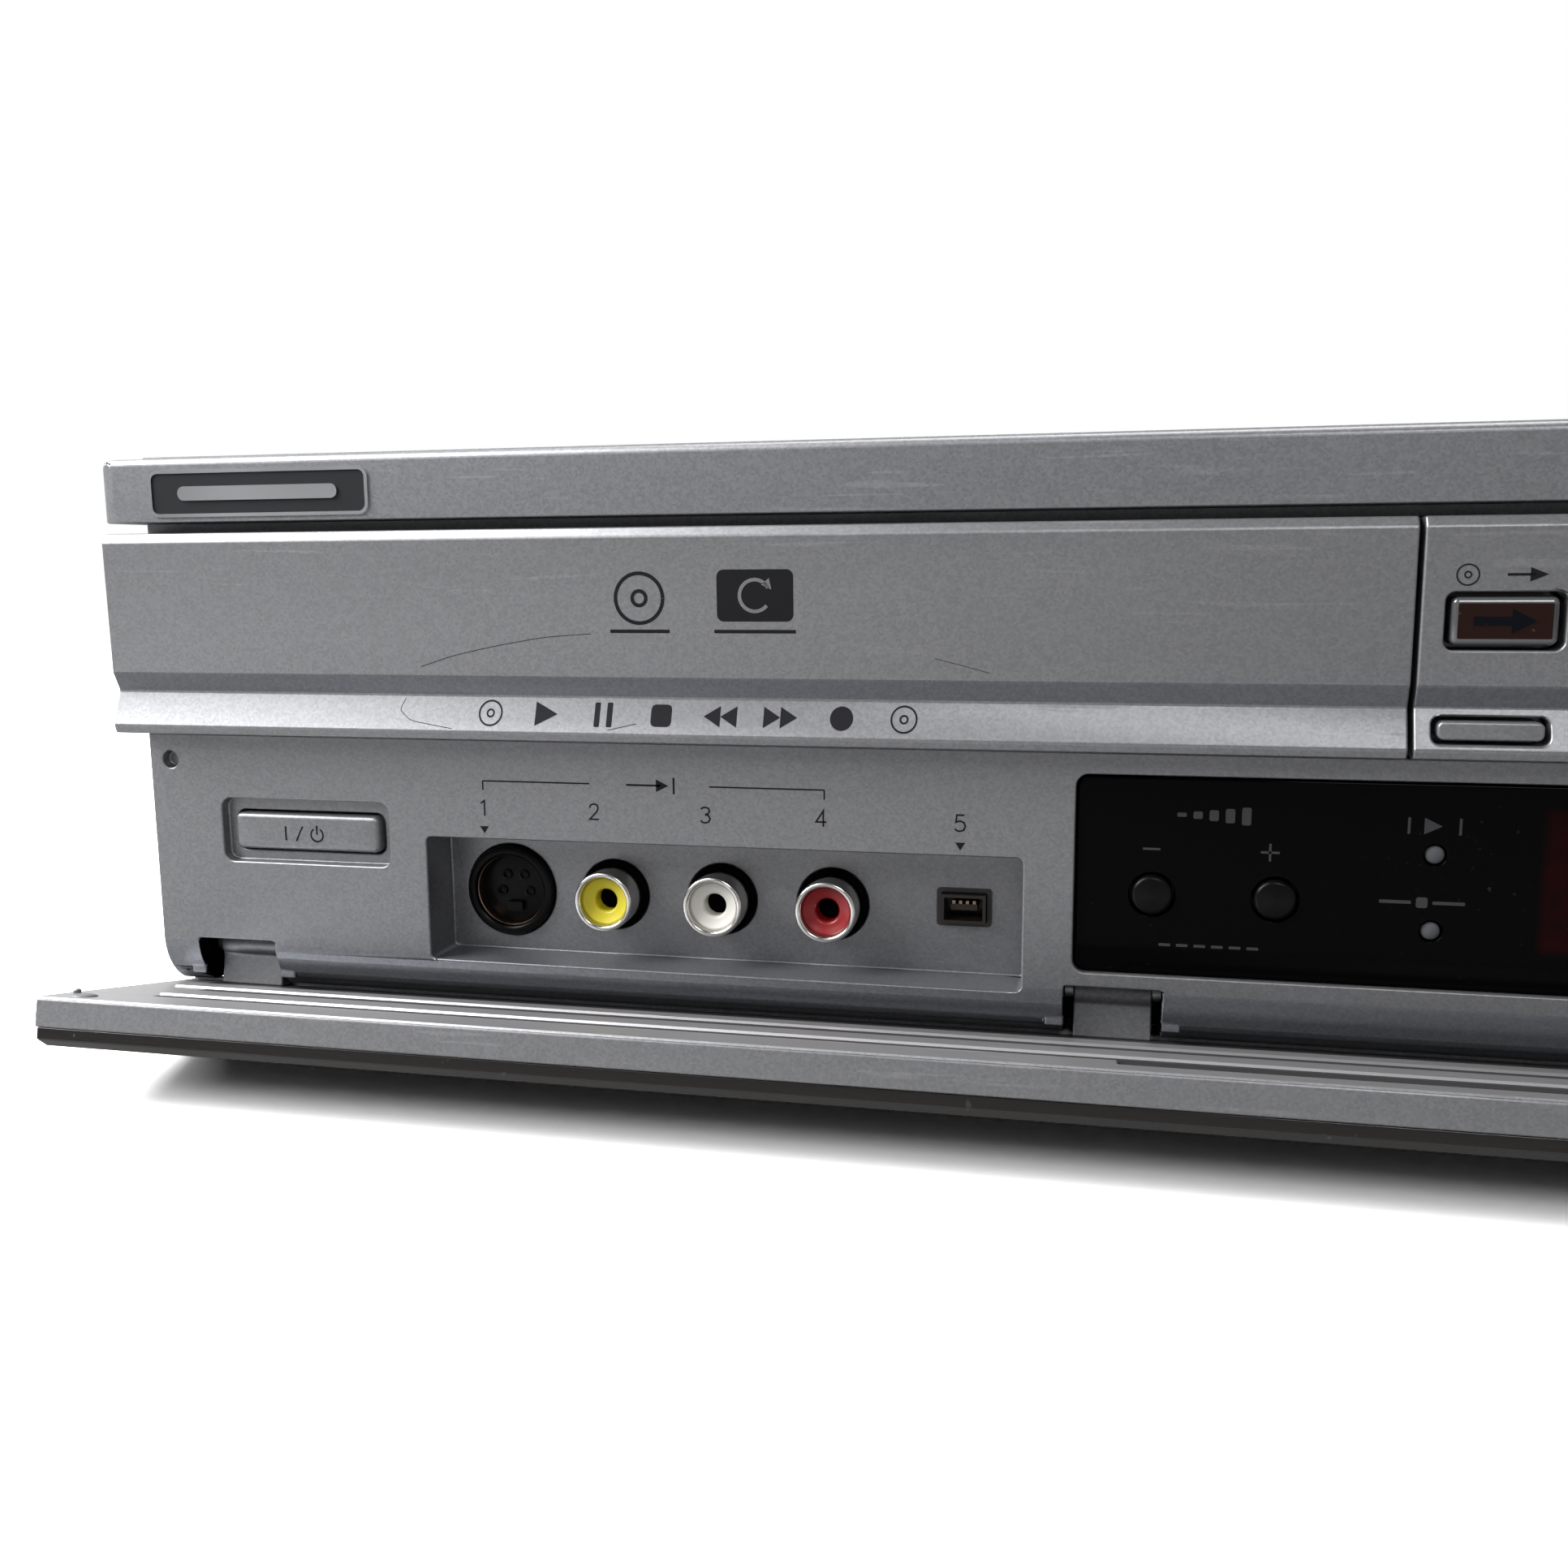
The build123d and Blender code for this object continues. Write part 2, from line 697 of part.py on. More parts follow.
def chin_slots(shell):
    """Cuts a slot for each door arm and adds the two ears that hold its pin."""
    for left in arm_lefts:
        slot_left = left - arm_slot
        slot_right = left + arm_width + arm_slot
        shell -= block(slot_left, slot_right, 0, door_pin_y + arm_boss + 1.2, chin_foot_z - 3, chin_top + 0.4)
        for ear_left in (slot_left - ear_thickness, slot_right):
            shell += block(ear_left, ear_left + ear_thickness, body_y + shell_wall - 1, door_pin_y + 4,
                           chin_foot_z + 1.5, door_pin_z + 3.2)
        shell -= rod_along_x(door_pin_diameter + pin_fit, door_pin_y, door_pin_z,
                             slot_left - ear_thickness - 1, slot_right + ear_thickness + 1)
    return shell


def front_bezel():
    """The whole front moulding: lower shell, upright plate with two openings, fixed block and right end."""
    shell = chin_slots(lower_shell())
    plate = block(x_left + 1.6, x_right - 1.6, plate_front, plate_back, body_top - 1, cap_top - 4)
    plate -= block(drive_left - 3, drive_right + 3, plate_front - 1, plate_back + 1, body_top, band_top - 1)
    plate -= block(flap_left - front_gap, flap_right + front_gap, plate_front - 1, plate_back + 1, body_top,
                   band_top + 0.6)
    shell += plate
    back = groove_y + face_wall
    for x0, x1 in ((block_left, flap_left - front_gap), (flap_right + front_gap, mirrored(0))):
        piece = band(x0, x1)
        piece += block(x0, x1, back - 0.5, plate_front, band_top - face_wall, band_top)
        piece += block(x0, x1, back - 0.5, plate_front, band_bottom, band_bottom + 1.2)
        piece += block(x0, x0 + return_wall, back - 0.5, plate_front, band_bottom, band_top)
        piece += block(x1 - return_wall, x1, back - 0.5, plate_front, band_bottom, band_top)
        shell += piece
    for x in (dub_x, dub_mirror_x):
        shell -= rounded_block(x, dub_z, dub_hole_width, dub_hole_height, dub_hole_corner, -3, plate_front - 2)
    for x in (pill_x, pill_mirror_x):
        shell -= rounded_block(x, pill_z, pill_hole_width, pill_hole_height, pill_hole_corner, -3, plate_front - 2)
    # the flap's pin holes, in the block's right side and the end piece's left side
    shell -= rod_along_x(flap_pin + 0.1, flap_pin_y, flap_pin_z, flap_left - 4, flap_left)
    shell -= rod_along_x(flap_pin + 0.1, flap_pin_y, flap_pin_z, flap_right, flap_right + 4)
    return shell


block_mid_x = (block_left + flap_left - front_gap) / 2
dub_mirror_x = 2 * block_mid_x - dub_x
pill_mirror_x = 2 * block_mid_x - pill_x
flap_pin = 1.6
flap_pin_y = 2.2
flap_pin_z = band_top - 1.3


def front_cap():
    """The strip along the top: a hollow bar with round ends and a tongue under the cover."""
    outer = block(x_left, x_right, cap_y, cap_back, cap_bottom, cap_top)
    ends = outer.edges().filter_by(Axis.Z).group_by(Axis.Y)[0]
    outer = fillet(ends, cap_corner)
    face = rounded_block((x_left + x_right) / 2, cap_bottom, x_right - x_left, 2 * cap_height, cap_end_corner,
                         cap_y, cap_back)
    outer &= fillet(face.faces().sort_by(Axis.Y)[0].edges(), cap_front_edge)
    inner = block(x_left + shell_wall + 2, x_right - shell_wall - 2, cap_y + shell_wall, cap_back + 1,
                  cap_bottom + shell_wall, cap_top - shell_wall)
    tongue = block(x_left + 2.4, x_right - 2.4, cap_back - 1, cap_back + cap_tongue, cap_top - shell_wall,
                   cap_top - 0.1)
    foot = block(x_left + 2.4, x_right - 2.4, plate_back, cap_back, cap_bottom, cap_bottom + shell_wall)
    body = outer - inner + tongue + foot
    seat = block(x_left + 1.5, x_right - 1.5, plate_front - 0.05, plate_back + 0.05, cap_bottom - 1, cap_top - 3.9)
    return body - seat


def cassette_flap():
    """The flap over the tape slot: a thin band that swings in on two pins near its top."""
    body = band(flap_left, flap_right, flap_wall - groove_y)
    body -= block(flap_left - 1, flap_right + 1, flap_wall, 30, 0, flap_pin_z - 3)
    body += rod_along_x(2.6, flap_pin_y, flap_pin_z, flap_left, flap_right)
    body -= block(flap_left - 1, flap_right + 1, -3, 30, band_top - 0.001, band_top + 5)
    body += rod_along_x(flap_pin, flap_pin_y, flap_pin_z, flap_left - 2.0, flap_right + 2.0)
    return body


def display_window():
    front = body_y + window_inset
    body = rounded_block(window_x, window_z, window_width, window_height, window_corner, front,
                         front + window_thickness)
    body = chamfer(body.faces().sort_by(Axis.Y)[0].edges(), 0.3)
    for x in (channel_down_x, channel_up_x):
        body -= rod_along_y(channel_hole, x, channel_z, 0, 10)
    for z in (led_upper_z, led_lower_z):
        body -= rod_along_y(led_hole, led_x, z, 0, 10)
    return body


def display_tube():
    x = tube_left + tube_width / 2
    z = tube_bottom + tube_height / 2
    body = rounded_block(x, z, tube_width, tube_height, 1.0, tube_front, front_board_y - 0.3)
    return body + rounded_block(tube_left + tube_width + 1.5, z, 5, 5, 2, tube_front + 2, tube_front + 6)


def front_board():
    """The board behind the window with its key switches, and the small one behind the upper keys."""
    low = rounded_block((window_left + body_right - 6) / 2, 28.5, body_right - 6 - window_left, 28, 1, front_board_y,
                        front_board_y + board)
    for x, z in [(channel_down_x, channel_z), (channel_up_x, channel_z)] + [(x, transport_z) for x in transport_xs]:
        low += block(x - 3, x + 3, front_board_y - 3.5, front_board_y + 0.2, z - 3, z + 3)
    high_left = block_left + 4
    high_right = flap_left - 5
    high = block(high_left, high_right, front_board_y, front_board_y + board, band_bottom + 1.5, band_top - 1)
    for x, z in ((dub_x, dub_z), (dub_mirror_x, dub_z), (pill_x, pill_z), (pill_mirror_x, pill_z)):
        high += block(x - 3, x + 3, front_board_y - 3.5, front_board_y + 0.2, z - 2.5, z + 2.5)
    return Compound([low.solid(), high.solid()])


def jack_board():
    """The board of the front sockets: the moulded socket block, and the power switch at its left."""
    body = block(body_left + 6, jack_left + jack_width + 3, jack_board_y, jack_board_y + board, 11.8, 36)
    body += block(jack_left + 3, jack_left + jack_width - 2, jack_back + pocket_wall + 0.3, jack_board_y + 0.2,
                  jack_bottom + 1.5, jack_bottom + jack_height - 1)
    body += block(power_x - 4, power_x + 4, jack_board_y - 6, jack_board_y + 0.2, power_z - 3.2, power_z + 3.2)
    for x in rca_xs:
        body -= rod_along_y(rca_outer, x, jack_z, 0, jack_back + pocket_wall + 3)
    body -= rod_along_y(svideo_ring, svideo_x, jack_z, 0, jack_back + pocket_wall + 2)
    body -= block(dv_x - dv_width / 2, dv_x + dv_width / 2, 0, jack_back + pocket_wall + 2, dv_z - dv_height / 2,
                  dv_z + dv_height / 2)
    return body


def rca_shells():
    """The plated sleeves of the three round sockets."""
    back = jack_back + pocket_wall + 3
    sleeves = []
    for x in rca_xs:
        sleeve = rod_along_y(rca_outer, x, jack_z, rca_tip_y, back)
        sleeve = chamfer(sleeve.edges().sort_by(Axis.Y)[0], 0.35)
        sleeves.append((sleeve - rod_along_y(rca_inner, x, jack_z, 0, back - 1)).solid())
    return Compound(sleeves)


def rca_inserts():
    """The coloured insulators inside the sleeves, each with its hole for the plug's pin."""
    front = rca_tip_y + insert_depth
    back = jack_back + pocket_wall + 2
    plugs = []
    for x in rca_xs:
        plug = rod_along_y(rca_inner, x, jack_z, front, back)
        plugs.append((plug - rod_along_y(rca_pin_hole, x, jack_z, 0, back - 1.5)).solid())
    return Compound(plugs)


def svideo_jack():
    """The small round socket: black body, keyed metal ring and four contact holes."""
    front = jack_back - 1.0
    back = jack_back + pocket_wall + 2
    body = rod_along_y(svideo_ring, svideo_x, jack_z, front, back)
    ring_slot = rod_along_y(svideo_metal, svideo_x, jack_z, front - 1, front + 3)
    ring_slot -= rod_along_y(svideo_metal - 1.6, svideo_x, jack_z, front - 2, front + 4)
    body -= ring_slot
    for dx in (-2.2, 2.2):
        for dz in (-1.4, 1.6):
            body -= rod_along_y(0.9, svideo_x + dx, jack_z + dz, front - 1, front + 2)
    return body


def dv_socket():
    """The small digital socket: a thin metal box with a tongue."""
    half_w = dv_width / 2
    half_h = dv_height / 2
    back = jack_back + pocket_wall + 2
    body = block(dv_x - half_w, dv_x + half_w, dv_tip_y, back, dv_z - half_h, dv_z + half_h)
    body -= block(dv_x - half_w + dv_wall, dv_x + half_w - dv_wall, dv_tip_y - 1, back - 1, dv_z - half_h + dv_wall,
                  dv_z + half_h - dv_wall)
    return body + block(dv_x - half_w + 1.2, dv_x + half_w - 1.2, dv_tip_y + 1, back - 0.5, dv_z - 0.3, dv_z + 0.5)


def status_leds():
    lamps = []
    for z in (led_upper_z, led_lower_z):
        lamp = rod_along_y(led_diameter, led_x, z, body_y + window_inset + 0.1, front_board_y)
        lamps.append(fillet(lamp.edges().sort_by(Axis.Y)[0], 0.5).solid())
    return Compound(lamps)


def key(x, z, width, height, corner, front, wall_back, travel):
    """A button: its cap, the flange that stops it behind the wall and a stem towards its switch."""
    flange_y = wall_back + key_gap
    cap = rounded_block(x, z, width, height, corner, front, flange_y + 0.1)
    cap = fillet(cap.faces().sort_by(Axis.Y)[0].edges(), 0.25)
    cap += rounded_block(x, z, width + 1.6, height + 1.6, corner + 0.8, flange_y, flange_y + key_flange)
    return cap + rounded_block(x, z, 3.0, 2.0, 0.4, flange_y + key_flange - 0.1, flange_y + key_flange + travel)


def power_button():
    return key(power_x, power_z, power_width, power_height, power_corner, body_y + 0.25,
               body_y + power_recess_depth + power_floor, power_travel)


def dub_button(x):
    """A lens key on a flange that hides the hole round it."""
    back = groove_y + face_wall
    body = rounded_block(x, dub_z, dub_width, dub_height, dub_corner, 0.15, back + key_gap + 0.1)
    body = fillet(body.faces().sort_by(Axis.Y)[0].edges(), 0.3)
    body += rounded_block(x, dub_z, dub_hole_width + 0.6, dub_hole_height + 0.8, dub_hole_corner, back + key_gap,
                          back + key_gap + 1.0)
    return body + rounded_block(x, dub_z, 3.0, 2.0, 0.4, back + 1.2, back + 4.0)


def pill_button(x):
    back = groove_y + face_wall
    body = rounded_block(x, pill_z, pill_width, pill_height, pill_corner, 0.05, back + key_gap + 0.1)
    body = fillet(body.faces().sort_by(Axis.Y)[0].edges(), 0.25)
    body += rounded_block(x, pill_z, pill_width + 1.6, pill_height + 1.4, pill_hole_corner, back + key_gap,
                          back + key_gap + 1.0)
    return body + rounded_block(x, pill_z, 3.0, 1.4, 0.3, back + 1.2, back + 4.0)


def channel_button(x):
    back = body_y + window_inset + window_thickness
    body = rod_along_y(channel_diameter, x, channel_z, body_y - 0.2, back + key_gap + 0.1)
    body = fillet(body.edges().sort_by(Axis.Y)[0], 0.5)
    body += rod_along_y(channel_hole + 1.6, x, channel_z, back + key_gap, back + key_gap + 1.0)
    return body + rod_along_y(2.0, x, channel_z, back + 1.2, back + 4.0)


def transport_button(x):
    return key(x, transport_z, transport_width, transport_height, 2.4, body_y - 0.2, body_y + shell_wall, key_travel)


# ---- Door ----
door_top = body_top - door_top_gap
swing = Pos(0, door_pin_y, door_pin_z) * Rot(door_open_angle, 0, 0) * Pos(0, -door_pin_y, -door_pin_z)
frame_front = door_back_y - door_frame_thickness


def door_frame():
    """The door's silver frame: a slab with long grooves on the inner face, a latch pin and an end nub."""
    body = block(door_left, door_right, frame_front, door_back_y, door_bottom, door_top)
    body = chamfer(body.faces().sort_by(Axis.Y)[-1].edges(), 0.25)
    # two long grooves leave a narrow ridge between them, near the hinge
    body -= block(door_left + 7, door_right - 7, door_back_y - 1.0, door_back_y + 1, door_bottom + 7.6,
                  door_bottom + 12.6)
    body -= block(door_left + 7, door_right - 7, door_back_y - 0.8, door_back_y + 1, door_bottom + 3.9,
                  door_bottom + 5.6)
    body -= block(window_left + 6, door_right - 20, door_back_y - 0.8, door_back_y + 1, door_bottom + 17,
                  door_top - 5)
    body += rod_along_y(nub_diameter, door_left + 3.6, nub_z, door_back_y - 0.5, door_back_y + nub_height)
    body += rod_along_x(2.6, frame_front + 1.5, door_top - 2.2, door_left - 0.8, door_left + 1)
    return swing * body


def door_panel():
    """The dark clear sheet over the frame's outside, with bevelled edges."""
    inset = door_panel_inset
    outside = frame_front - door_panel_thickness
    body = block(door_left + inset, door_right - inset, outside, frame_front, door_bottom + inset, door_top - inset)
    body = chamfer(body.faces().sort_by(Axis.Y)[0].edges(), door_panel_bevel)
    return swing * body


def door_arms():
    """Four bent arms from the door's inner face to the hinge pins."""
    arms = []
    high = door_pin_z - arm_top_below_pin
    low = door_pin_z - arm_bottom_below_pin
    for left in arm_lefts:
        edges = Polyline([(0, door_pin_y, high + 0.35), (0, door_pin_y - 2.4, high), (0, door_back_y, high),
                          (0, door_back_y, low + 1.2), (0, door_back_y + 1.2, low + 0.9),
                          (0, door_pin_y, door_pin_z - arm_boss + 0.1)], close=True)
        arm = extrude_x(make_face(edges), left, left + arm_width)
        arm += rod_along_x(2 * arm_boss, door_pin_y, door_pin_z, left, left + arm_width)
        arm -= rod_along_x(door_pin_diameter + 2 * pin_fit, door_pin_y, door_pin_z, left - 1, left + arm_width + 1)
        arms.append((swing * arm).solid())
    return Compound(arms)


def door_pins():
    pins = []
    for left in arm_lefts:
        end = arm_slot + ear_thickness
        pins.append(rod_along_x(door_pin_diameter, door_pin_y, door_pin_z, left - end, left + arm_width + end))
    return Compound(pins)


# ---- Case ----
pan_top = foot_height + pan_sheet
cover_inside_left = x_left + sheet
cover_inside_right = x_right - sheet
rear_inside = body_depth - sheet


def bottom_chassis():
    """The folded steel pan, with board posts, drive posts and rows of slots."""
    body = block(cover_inside_left, cover_inside_right, bezel_back, rear_inside, foot_height, pan_top)
    for x in (cover_inside_left, cover_inside_right - pan_sheet):
        body += block(x, x + pan_sheet, bezel_back, rear_inside, foot_height, foot_height + pan_side_flange)
    body += block(cover_inside_left, cover_inside_right, bezel_back, bezel_back + pan_sheet, foot_height,
                  foot_height + pan_front_flange)
    for i in range(8):
        y = 70 + i * 9
        body -= block(60, 110, y, y + 3.5, foot_height - 1, pan_top + 1)
        body -= block(290, 360, y, y + 3.5, foot_height - 1, pan_top + 1)
    for x in (drive_left + 7, drive_right - 7):
        for y in (60, drive_back - 8):
            body += rod_along_z(8, x, y, pan_top, drive_floor_z)
    for x, y in board_posts:
        body += rod_along_z(6, x, y, pan_top, board_z)
    return body


board_posts = [(34, 50), (214, 50), (34, 205), (214, 232), (140, 316), (360, 252), (360, 316),
               (supply_left + 8, supply_front + 8), (supply_left + supply_width - 8, supply_front + 8),
               (supply_left + 8, supply_front + supply_length - 8),
               (supply_left + supply_width - 8, supply_front + supply_length - 8)]


def top_cover():
    """The folded steel cover: top, both sides and a narrow rear flange, with rows of slots."""
    low = foot_height
    body = block(x_left, x_right, cap_back, body_depth, low, cover_top)
    body -= block(cover_inside_left, cover_inside_right, cap_back - 1, body_depth + 1, low - 1, cover_top - sheet)
    body += block(x_left, x_right, body_depth, body_depth + sheet, cover_top - 10, cover_top)
    for i in range(14):
        y = 90 + i * 11
        body -= block(x_left - 1, x_right + 1, y, y + 4, 48, 70)
    for i in range(12):
        x = 40 + i * 9
        body -= block(x, x + 4, 250, 310, cover_top - 2, cover_top + 1)
    for x in screw_xs:
        body -= rod_along_y(3.4, x, cover_top - 5, body_depth - 1, body_depth + 2)
    return body


screw_xs = [30.0, x_mid, mirrored(30.0)]


def rear_panel():
    """The flat back with holes for the fan, sockets, aerial pair, cord inlet and vents."""
    low = foot_height
    body = block(cover_inside_left, cover_inside_right, rear_inside, body_depth, low, cover_top - sheet)
    body -= rod_along_y(fan_size - 6, fan_x, fan_z, rear_inside - 1, body_depth + 1)
    for spoke in range(2):
        body += Pos(fan_x, body_depth - sheet / 2, fan_z) * Rot(0, 90 * spoke + 45, 0) * Box(fan_size, sheet, 3)
    ring = rod_along_y(26, fan_x, fan_z, rear_inside, body_depth) - rod_along_y(20, fan_x, fan_z, 0, 400)
    body += ring
    for x, z in rear_jack_places:
        body -= rod_along_y(rca_outer + 0.8, x, z, rear_inside - 1, body_depth + 1)
    for x in antenna_xs:
        body -= rod_along_y(antenna_diameter + 0.8, x, antenna_z, rear_inside - 1, body_depth + 1)
    body -= rounded_block(gland_x, gland_z, gland_width, gland_height, 2, rear_inside - 1, body_depth + 1)
    for i in range(6):
        z = 40 + i * 6
        body -= block(60, 110, rear_inside - 1, body_depth + 1, z, z + 2.5)
    for x in screw_xs:
        body -= rod_along_y(3.4, x, cover_top - 5, rear_inside - 1, body_depth + 1)
    return body


rear_jack_places = [(rear_jack_left + 10 + c * rear_jack_pitch_x, 32 + r * rear_jack_pitch_z)
                    for c in range(rear_jack_columns) for r in range(rear_jack_rows)]
antenna_xs = [tuner_left + tuner_width * 0.25, tuner_left + tuner_width * 0.75]
gland_width = 12.0
gland_height = 9.0


def rear_jacks():
    """The moulded block of the rear sockets, with its plated sleeves."""
    right = rear_jack_left + rear_jack_columns * rear_jack_pitch_x
    body = block(rear_jack_left, right, rear_inside - 16, rear_inside - 0.0, board_z + board + 0.3, 58)
    for x, z in rear_jack_places:
        sleeve = rod_along_y(rca_outer, x, z, rear_inside - 1, body_depth + rear_jack_length)
        body += sleeve
        body -= rod_along_y(rca_inner - 1, x, z, body_depth, body_depth + rear_jack_length + 1)
        body += rod_along_y(2.2, x, z, rear_inside, body_depth + rear_jack_length - 2)
    return body


def tuner():
    """The screened tuner can with its pair of threaded aerial connectors."""
    body = block(tuner_left, tuner_left + tuner_width, rear_inside - tuner_depth, rear_inside,
                 board_z + board + 0.3, antenna_z + 14)
    for x in antenna_xs:
        body += rod_along_y(antenna_diameter, x, antenna_z, rear_inside - 1, body_depth + antenna_length)
        nut = extrude(Plane.XZ * RegularPolygon(antenna_nut / 2, 6, major_radius=False), amount=-antenna_nut_thick)
        body += Pos(x, body_depth + 0.3, antenna_z) * nut
        body -= rod_along_y(5.0, x, antenna_z, body_depth + 2, body_depth + antenna_length + 1)
        body += rod_along_y(1.6, x, antenna_z, body_depth + 1, body_depth + antenna_length - 2)
    return body


def cord_gland():
    """The plastic bush in the rear panel that a mains cord would pass through."""
    body = rounded_block(gland_x, gland_z, gland_width, gland_height, 2, rear_inside, body_depth)
    body += rounded_block(gland_x, gland_z, gland_width + 4, gland_height + 4, 3, body_depth, body_depth + 3)
    body += rounded_block(gland_x, gland_z, gland_width + 3, gland_height + 3, 3, rear_inside - 4, rear_inside)
    return body - rounded_block(gland_x, gland_z, 7.2, 4.4, 2.1, rear_inside - 6, body_depth + 6)


def fan_frame():
    """The fan's square frame: a round duct, four spokes and the motor seat."""
    y0 = rear_inside - fan_depth
    body = rounded_block(fan_x, fan_z, fan_size, fan_size, 3, y0, rear_inside)
    body -= rod_along_y(fan_size - 4, fan_x, fan_z, y0 - 1, rear_inside + 1)
    hub = rod_along_y(18, fan_x, fan_z, y0, y0 + 1.5)
    for turn in range(2):
        hub += Pos(fan_x, y0 + 0.75, fan_z) * Rot(0, 90 * turn, 0) * Box(fan_size - 2, 1.5, 3)
    body += hub
    body += rod_along_y(2.0, fan_x, fan_z, y0 + 1, y0 + 7)
    return body


def fan_rotor():
    """The fan's wheel: a hub with seven leaned blades."""
    y0 = rear_inside - fan_depth + 1.5 + 0.6
    depth = fan_depth - 3.2
    body = rod_along_y(19, fan_x, fan_z, y0, y0 + depth)
    tip = fan_size / 2 - 2 - fan_gap
    blade = Pos(0, 0, (8 + tip) / 2) * Rot(0, 0, 35) * Box(9.0, 0.9, tip - 8)
    disc = Rot(90, 0, 0) * Cylinder(tip, depth - 0.2)
    blade = blade & disc
    for i in range(7):
        body += Pos(fan_x, y0 + depth / 2, fan_z) * Rot(0, i * 360 / 7, 0) * blade
    return body - rod_along_y(2.1, fan_x, fan_z, y0 - 1, y0 + depth - 1)


def feet():
    solids = []
    for x in (foot_inset, mirrored(foot_inset)):
        for y in (foot_front_y, foot_rear_y):
            foot = Pos(x, y, 0) * Cone(foot_diameter / 2 - 1.5, foot_diameter / 2, foot_height,
                                       align=(Align.CENTER, Align.CENTER, Align.MIN))
            solids.append((foot - rod_along_z(12, x, y, -1, 2.0)).solid())
    return Compound(solids)


def cover_screws():
    """The three cover screws: pan heads with a cross recess, and their threads as plain rods."""
    solids = []
    for x in screw_xs:
        z = cover_top - 5
        face = body_depth + sheet
        head = rod_along_y(screw_head, x, z, face, face + 2.2)
        head = fillet(head.edges().sort_by(Axis.Y)[-1], 0.9)
        head += rod_along_y(3.0, x, z, body_depth - 5, face + 0.5)
        for turn in (0, 90):
            head -= Pos(x, face + 2.2, z) * Rot(0, turn, 0) * Box(4.0, 2.4, 0.8)
        solids.append(head.solid())
    return Compound(solids)


def main_board():
    """The main board with its larger parts."""
    top = board_z + board
    outline = [(26, 42), (222, 42), (222, 241), (368, 241), (368, 324), (130, 324), (130, 212), (26, 212)]
    face = make_face(Polyline([(x, y, board_z) for x, y in outline], close=True))
    body = extrude(face, amount=board, dir=(0, 0, 1))
    for y in (60, drive_back - 8):
        body -= rod_along_z(12, drive_right - 7, y, board_z - 1, top + 1)
    for x, y, w, d, h in ((50, 70, 28, 28, 3), (100, 80, 20, 20, 2.5), (60, 130, 18, 10, 2.5), (175, 90, 30, 30, 3),
                          (180, 150, 22, 12, 2.5), (176, 200, 30, 18, 12), (240, 270, 20, 20, 3)):
        body += block(x, x + w, y, y + d, top - 0.2, top + h)
    for x, y in ((120, 140), (132, 140), (190, 180), (204, 180), (165, 250), (178, 250)):
        body += rod_along_z(8, x, y, top - 0.2, top + 11)
    return body


def power_board():
    """The supply's board: fuse, capacitors and two finned heat sinks."""
    top = board_z + board
    right = supply_left + supply_width
    back = supply_front + supply_length
    body = block(supply_left, right, supply_front, back, board_z, top)
    for x, y, d, h in ((28, 262, 25, 34), (96, 246, 12, 20), (96, 262, 12, 20), (112, 254, 10, 16)):
        body += rod_along_z(d, x, y, top - 0.2, top + h)
    for x in (supply_left + 16, supply_left + 74):
        y = back - 22
        body += block(x, x + 30, y, y + 2.5, top - 0.2, top + 36)
        for i in range(5):
            body += block(x + i * 7, x + i * 7 + 1.6, y + 2, y + 10, top - 0.2, top + 36)
    body += rod_along_x(6, supply_front + 14, top + 5, supply_left + 34, supply_left + 56)
    for x in (supply_left + 36, supply_left + 50):
        body += block(x, x + 4, supply_front + 12, supply_front + 16, top - 0.2, top + 6)
    return body + transformer(supply_left + 42, supply_front + 34, top)


def transformer(x, y, z):
    """The supply's transformer: a split core round its wound bobbin."""
    core = block(x, x + 36, y, y + 12, z + 3, z + 33)
    core += block(x + 4, x + 32, y - 6, y + 18, z + 6, z + 30)
    return core + block(x + 2, x + 34, y - 4, y + 16, z - 0.2, z + 4)


# ---- Tape drive ----
slot_mid_x = (flap_left + flap_right) / 2
inner_width = cassette_width + 2 * carriage_fit
carriage_left = slot_mid_x - inner_width / 2 - carriage_wall
carriage_right = slot_mid_x + inner_width / 2 + carriage_wall
carriage_top = carriage_z + carriage_wall + cassette_height + carriage_fit
slide_left = carriage_left - slide_gap - slide_sheet
slide_right = carriage_right + slide_gap + slide_sheet
deck_left = slide_left - slide_gap - deck_plate
deck_right = slide_right + slide_gap + deck_plate


def cassette_carriage():
    """The basket that takes the tape: two ledges, two sides and a bridge on top."""
    y0 = carriage_front
    y1 = carriage_front + carriage_length
    body = block(carriage_left, carriage_right, y0, y1, carriage_z, carriage_top)
    body -= block(carriage_left + carriage_wall, carriage_right - carriage_wall, y0 - 1, y1 + 1,
                  carriage_z + carriage_wall, carriage_top - carriage_wall)
    body -= block(carriage_left + carriage_ledge, carriage_right - carriage_ledge, y0 - 1, y1 + 1, carriage_z - 1,
                  carriage_z + carriage_wall + 1)
    body -= block(carriage_left + carriage_ledge, carriage_right - carriage_ledge, y0 - 1, y0 + 46,
                  carriage_top - carriage_wall - 1, carriage_top + 1)
    return body


def carriage_slides():
    """The two side plates that carry the basket back, tied by a bar over it."""
    y0 = carriage_front + 20
    y1 = carriage_front + carriage_length - 6
    low = carriage_z + 4
    high = carriage_top + 2.6
    body = block(slide_left, slide_left + slide_sheet, y0, y1, low, high)
    body += block(slide_right - slide_sheet, slide_right, y0, y1, low, high)
    body += block(slide_left, slide_right, y1 - 12, y1, high - 1.2, high)
    return body


